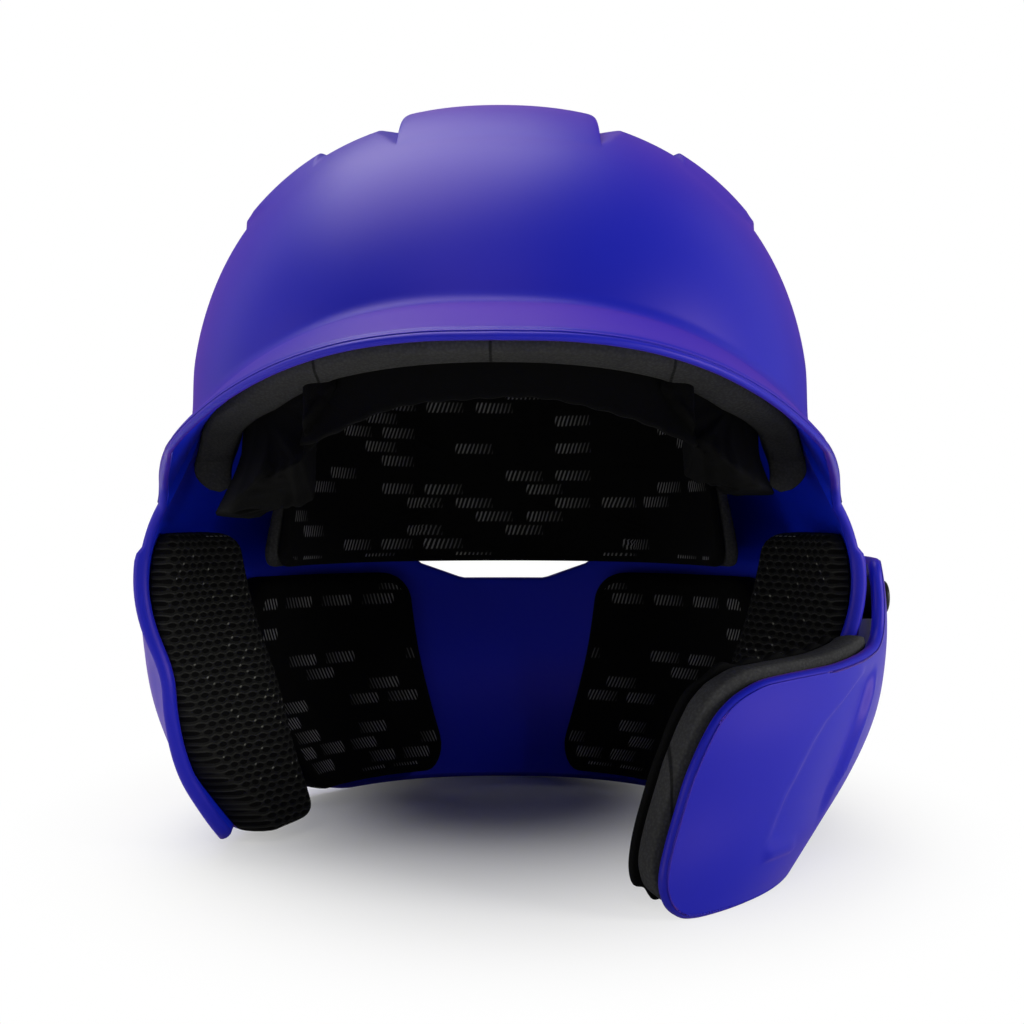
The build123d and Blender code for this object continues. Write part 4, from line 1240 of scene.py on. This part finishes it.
def guard_line(by_length, by_width, back, count, passes, tip=0.0):
    """Closed outline as plan angle times an arc length, and height: from places given by length,
    by width less tip, and by length again, evenly spaced and softened by averaging neighbours."""
    line = [(guard_angle(y=y, z=z) * GUARD_ARC, z) for y, z in by_length]
    line += [(guard_angle(x=x - tip, z=z) * GUARD_ARC, z) for x, z in by_width]
    line += [(guard_angle(y=y, z=z) * GUARD_ARC, z) for y, z in back]
    line = evenly(np.array(line), count)
    for _ in range(passes):
        line = (np.roll(line, 1, 0) + line * 2 + np.roll(line, -1, 0)) / 4
    return anticlockwise(line)


plate_line = guard_line(
    [(0, 95), (-42, 95), (-45, 92), (-46, 80), (-48.5, 73), (-54, 69), (-63, 67), (-75, 65), (-86, 63.8)],
    [(73, 62.6), (65, 58.8), (59.7, 53.7), (55.7, 46.8), (51.7, 38), (48.8, 29), (46.5, 22), (44.6, 15),
     (44, 9.5), (45.8, 4), (50, 0.6), (54, 0)],
    [(-60, 0), (-24, 0), (-20, 8), (-6, 28), (3, 60), (3, 92)], 300, 6)
centre = np.array([guard_angle(y=-36.0, z=44.0) * GUARD_ARC, 44.0])
rings = [plate_line]
for gap in (0.5, 1.0, 1.5, 2.0, 2.6, 3.4):
    rings.append(inward(plate_line, gap))
for part in np.linspace(1, 0, 62)[1:-1]:
    rings.append(centre + (rings[6] - centre) * part)
plan = np.stack(rings + [np.repeat(centre[None], len(plate_line), 0)])
points, quads = weld_grids([(guard_point(plan[..., 0] / GUARD_ARC, plan[..., 1], 0.0), True)])
if point_normals(points, quads)[:, 0].mean() < 0:
    quads = quads[:, ::-1]

# Relief: a shallow valley that runs down from the hinge side, a sharp ridge behind it, a low boss.
x, y, z = points.T
valley_left = np.interp(z, [16, 29, 37.5, 44, 50, 56, 62], [74, 80, 85, 88.6, 93.2, 100.5, 107])
valley_right = np.interp(z, [13.6, 20, 28.4, 35, 52, 62], [95, 97, 100, 103, 110, 114])
fade = ease((z - 12) / 14) * ease((66 - z) / 8)
valley = VALLEY * ease((x - valley_left) / 2.2) * ease((valley_right - x) / 2.0 + 0.3) * fade
ridge = RIDGE * np.exp(-((x - valley_right - 0.8) / 0.9) ** 2) * ease((z - 26) / 8) * ease((62 - z) / 8)
boss = BOSS * ease((x - 74) / 2) * ease((86 - x) / 2) * ease((z - 11) / 1.5) * ease((18 - z) / 4)
relief = ridge + boss - valley
guard = thick_piece("jaw_guard_moulding", points, quads, GUARD_WALL, relief, 0 * relief, 1.2)
guard.data.materials.append(shell_look)
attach(guard, "root")
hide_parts("jaw_guard")

# Guard padding: an EVA foam sheet glued into the plate, and a tricot liner on the foam that lies
# a little wavy where it was stretched round the edge.
PAD_SIDE = [(-52, 8), (-52, 66), (-53, 72), (-56, 72.2), (-63, 70.6), (-75, 68.5), (-86, 67.3)]
PAD_FRONT = [(73, 66.1), (65, 62.3), (59.7, 57.2), (55.7, 50.3), (51.7, 41.5), (48.8, 32.5), (46.5, 25.5),
             (44.6, 18.5), (44, 13), (45.8, 7.5), (50, 4), (54, 2)]


def place_guard(first, last, wave=0.0):
    """Places on the guard's inner side, on straight lines between two depths, with heights moved
    by two sine waves."""
    def place(a, b, h):
        high = b + wave * np.sin(a * 0.55) + wave * 0.6 * np.sin(b * 0.41)
        part = h[..., None]
        return (guard_point(a / GUARD_ARC, high, first) * (1 - part)
                + guard_point(a / GUARD_ARC, high, last) * part)
    return place


for name, tip, place, edge, look, slot_name, node in (
        ("guard_foam_sheet", 1.5, place_guard(4.3, 12.8), 1.6, foam_look, "eva", "guard_foam"),
        ("guard_liner_cloth", 2.2, place_guard(13.1, 16.1, 0.7), 1.2, black_look, "liner", "guard_liner")):
    outline = guard_line(PAD_SIDE, PAD_FRONT, [(-56, 2)], 240, 4, tip)
    soft(pad_piece(name, outline, place, edge=edge, crown=0.0), look, slot_name, node)


# ---------------------------------------------------------------- fixings
# Steel screws with a cross recess and a black oxide coat, moulded rubber spacers and zinc plated nuts.
# They clamp the guard to the flap and are kept as the CAD made them.
def worn(name, dark, light, metallic, rough):
    """Coated metal or rubber with handling marks about a millimetre wide: its polish and tone vary
    a little, which breaks up the highlight on it."""
    made, tree = new_material(name)
    where = add(tree, "ShaderNodeTexCoord").outputs["Object"]
    wear = add(tree, "ShaderNodeTexNoise", sockets={
        "Vector": where, "Scale": 1 / (1.1111 * MM), "Detail": 3.0})
    base = add(tree, "ShaderNodeMix", RGBA, {0: wear, 6: linear(dark), 7: linear(light)}).outputs[2]
    polish = add(tree, "ShaderNodeMath", {"operation": "MULTIPLY_ADD"}, {0: wear, 1: 0.15, 2: rough})
    bump = add(tree, "ShaderNodeBump", sockets={"Strength": 0.15, "Distance": 0.1 * MM, "Height": wear})
    shader = add(tree, "ShaderNodeBsdfPrincipled", sockets={
        "Base Color": base, "Metallic": metallic, "Roughness": polish, "Normal": bump})
    add(tree, "ShaderNodeOutputMaterial", sockets={"Surface": shader})
    return made


for node, look in (("guard_screws", worn("steel_black_oxide", "#0C0C0C", "#1C1C1C", 0.6, 0.32)),
                   ("guard_spacers", worn("rubber_moulded_black", "#080808", "#121212", 0.0, 0.7)),
                   ("guard_nuts", worn("steel_zinc_plated", "#8C8C88", "#A4A49E", 1.0, 0.35))):
    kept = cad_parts[node]
    for k in range(len(kept.material_slots)):
        kept.material_slots[k].material = look
    if not kept.material_slots:
        kept.data.materials.append(look)
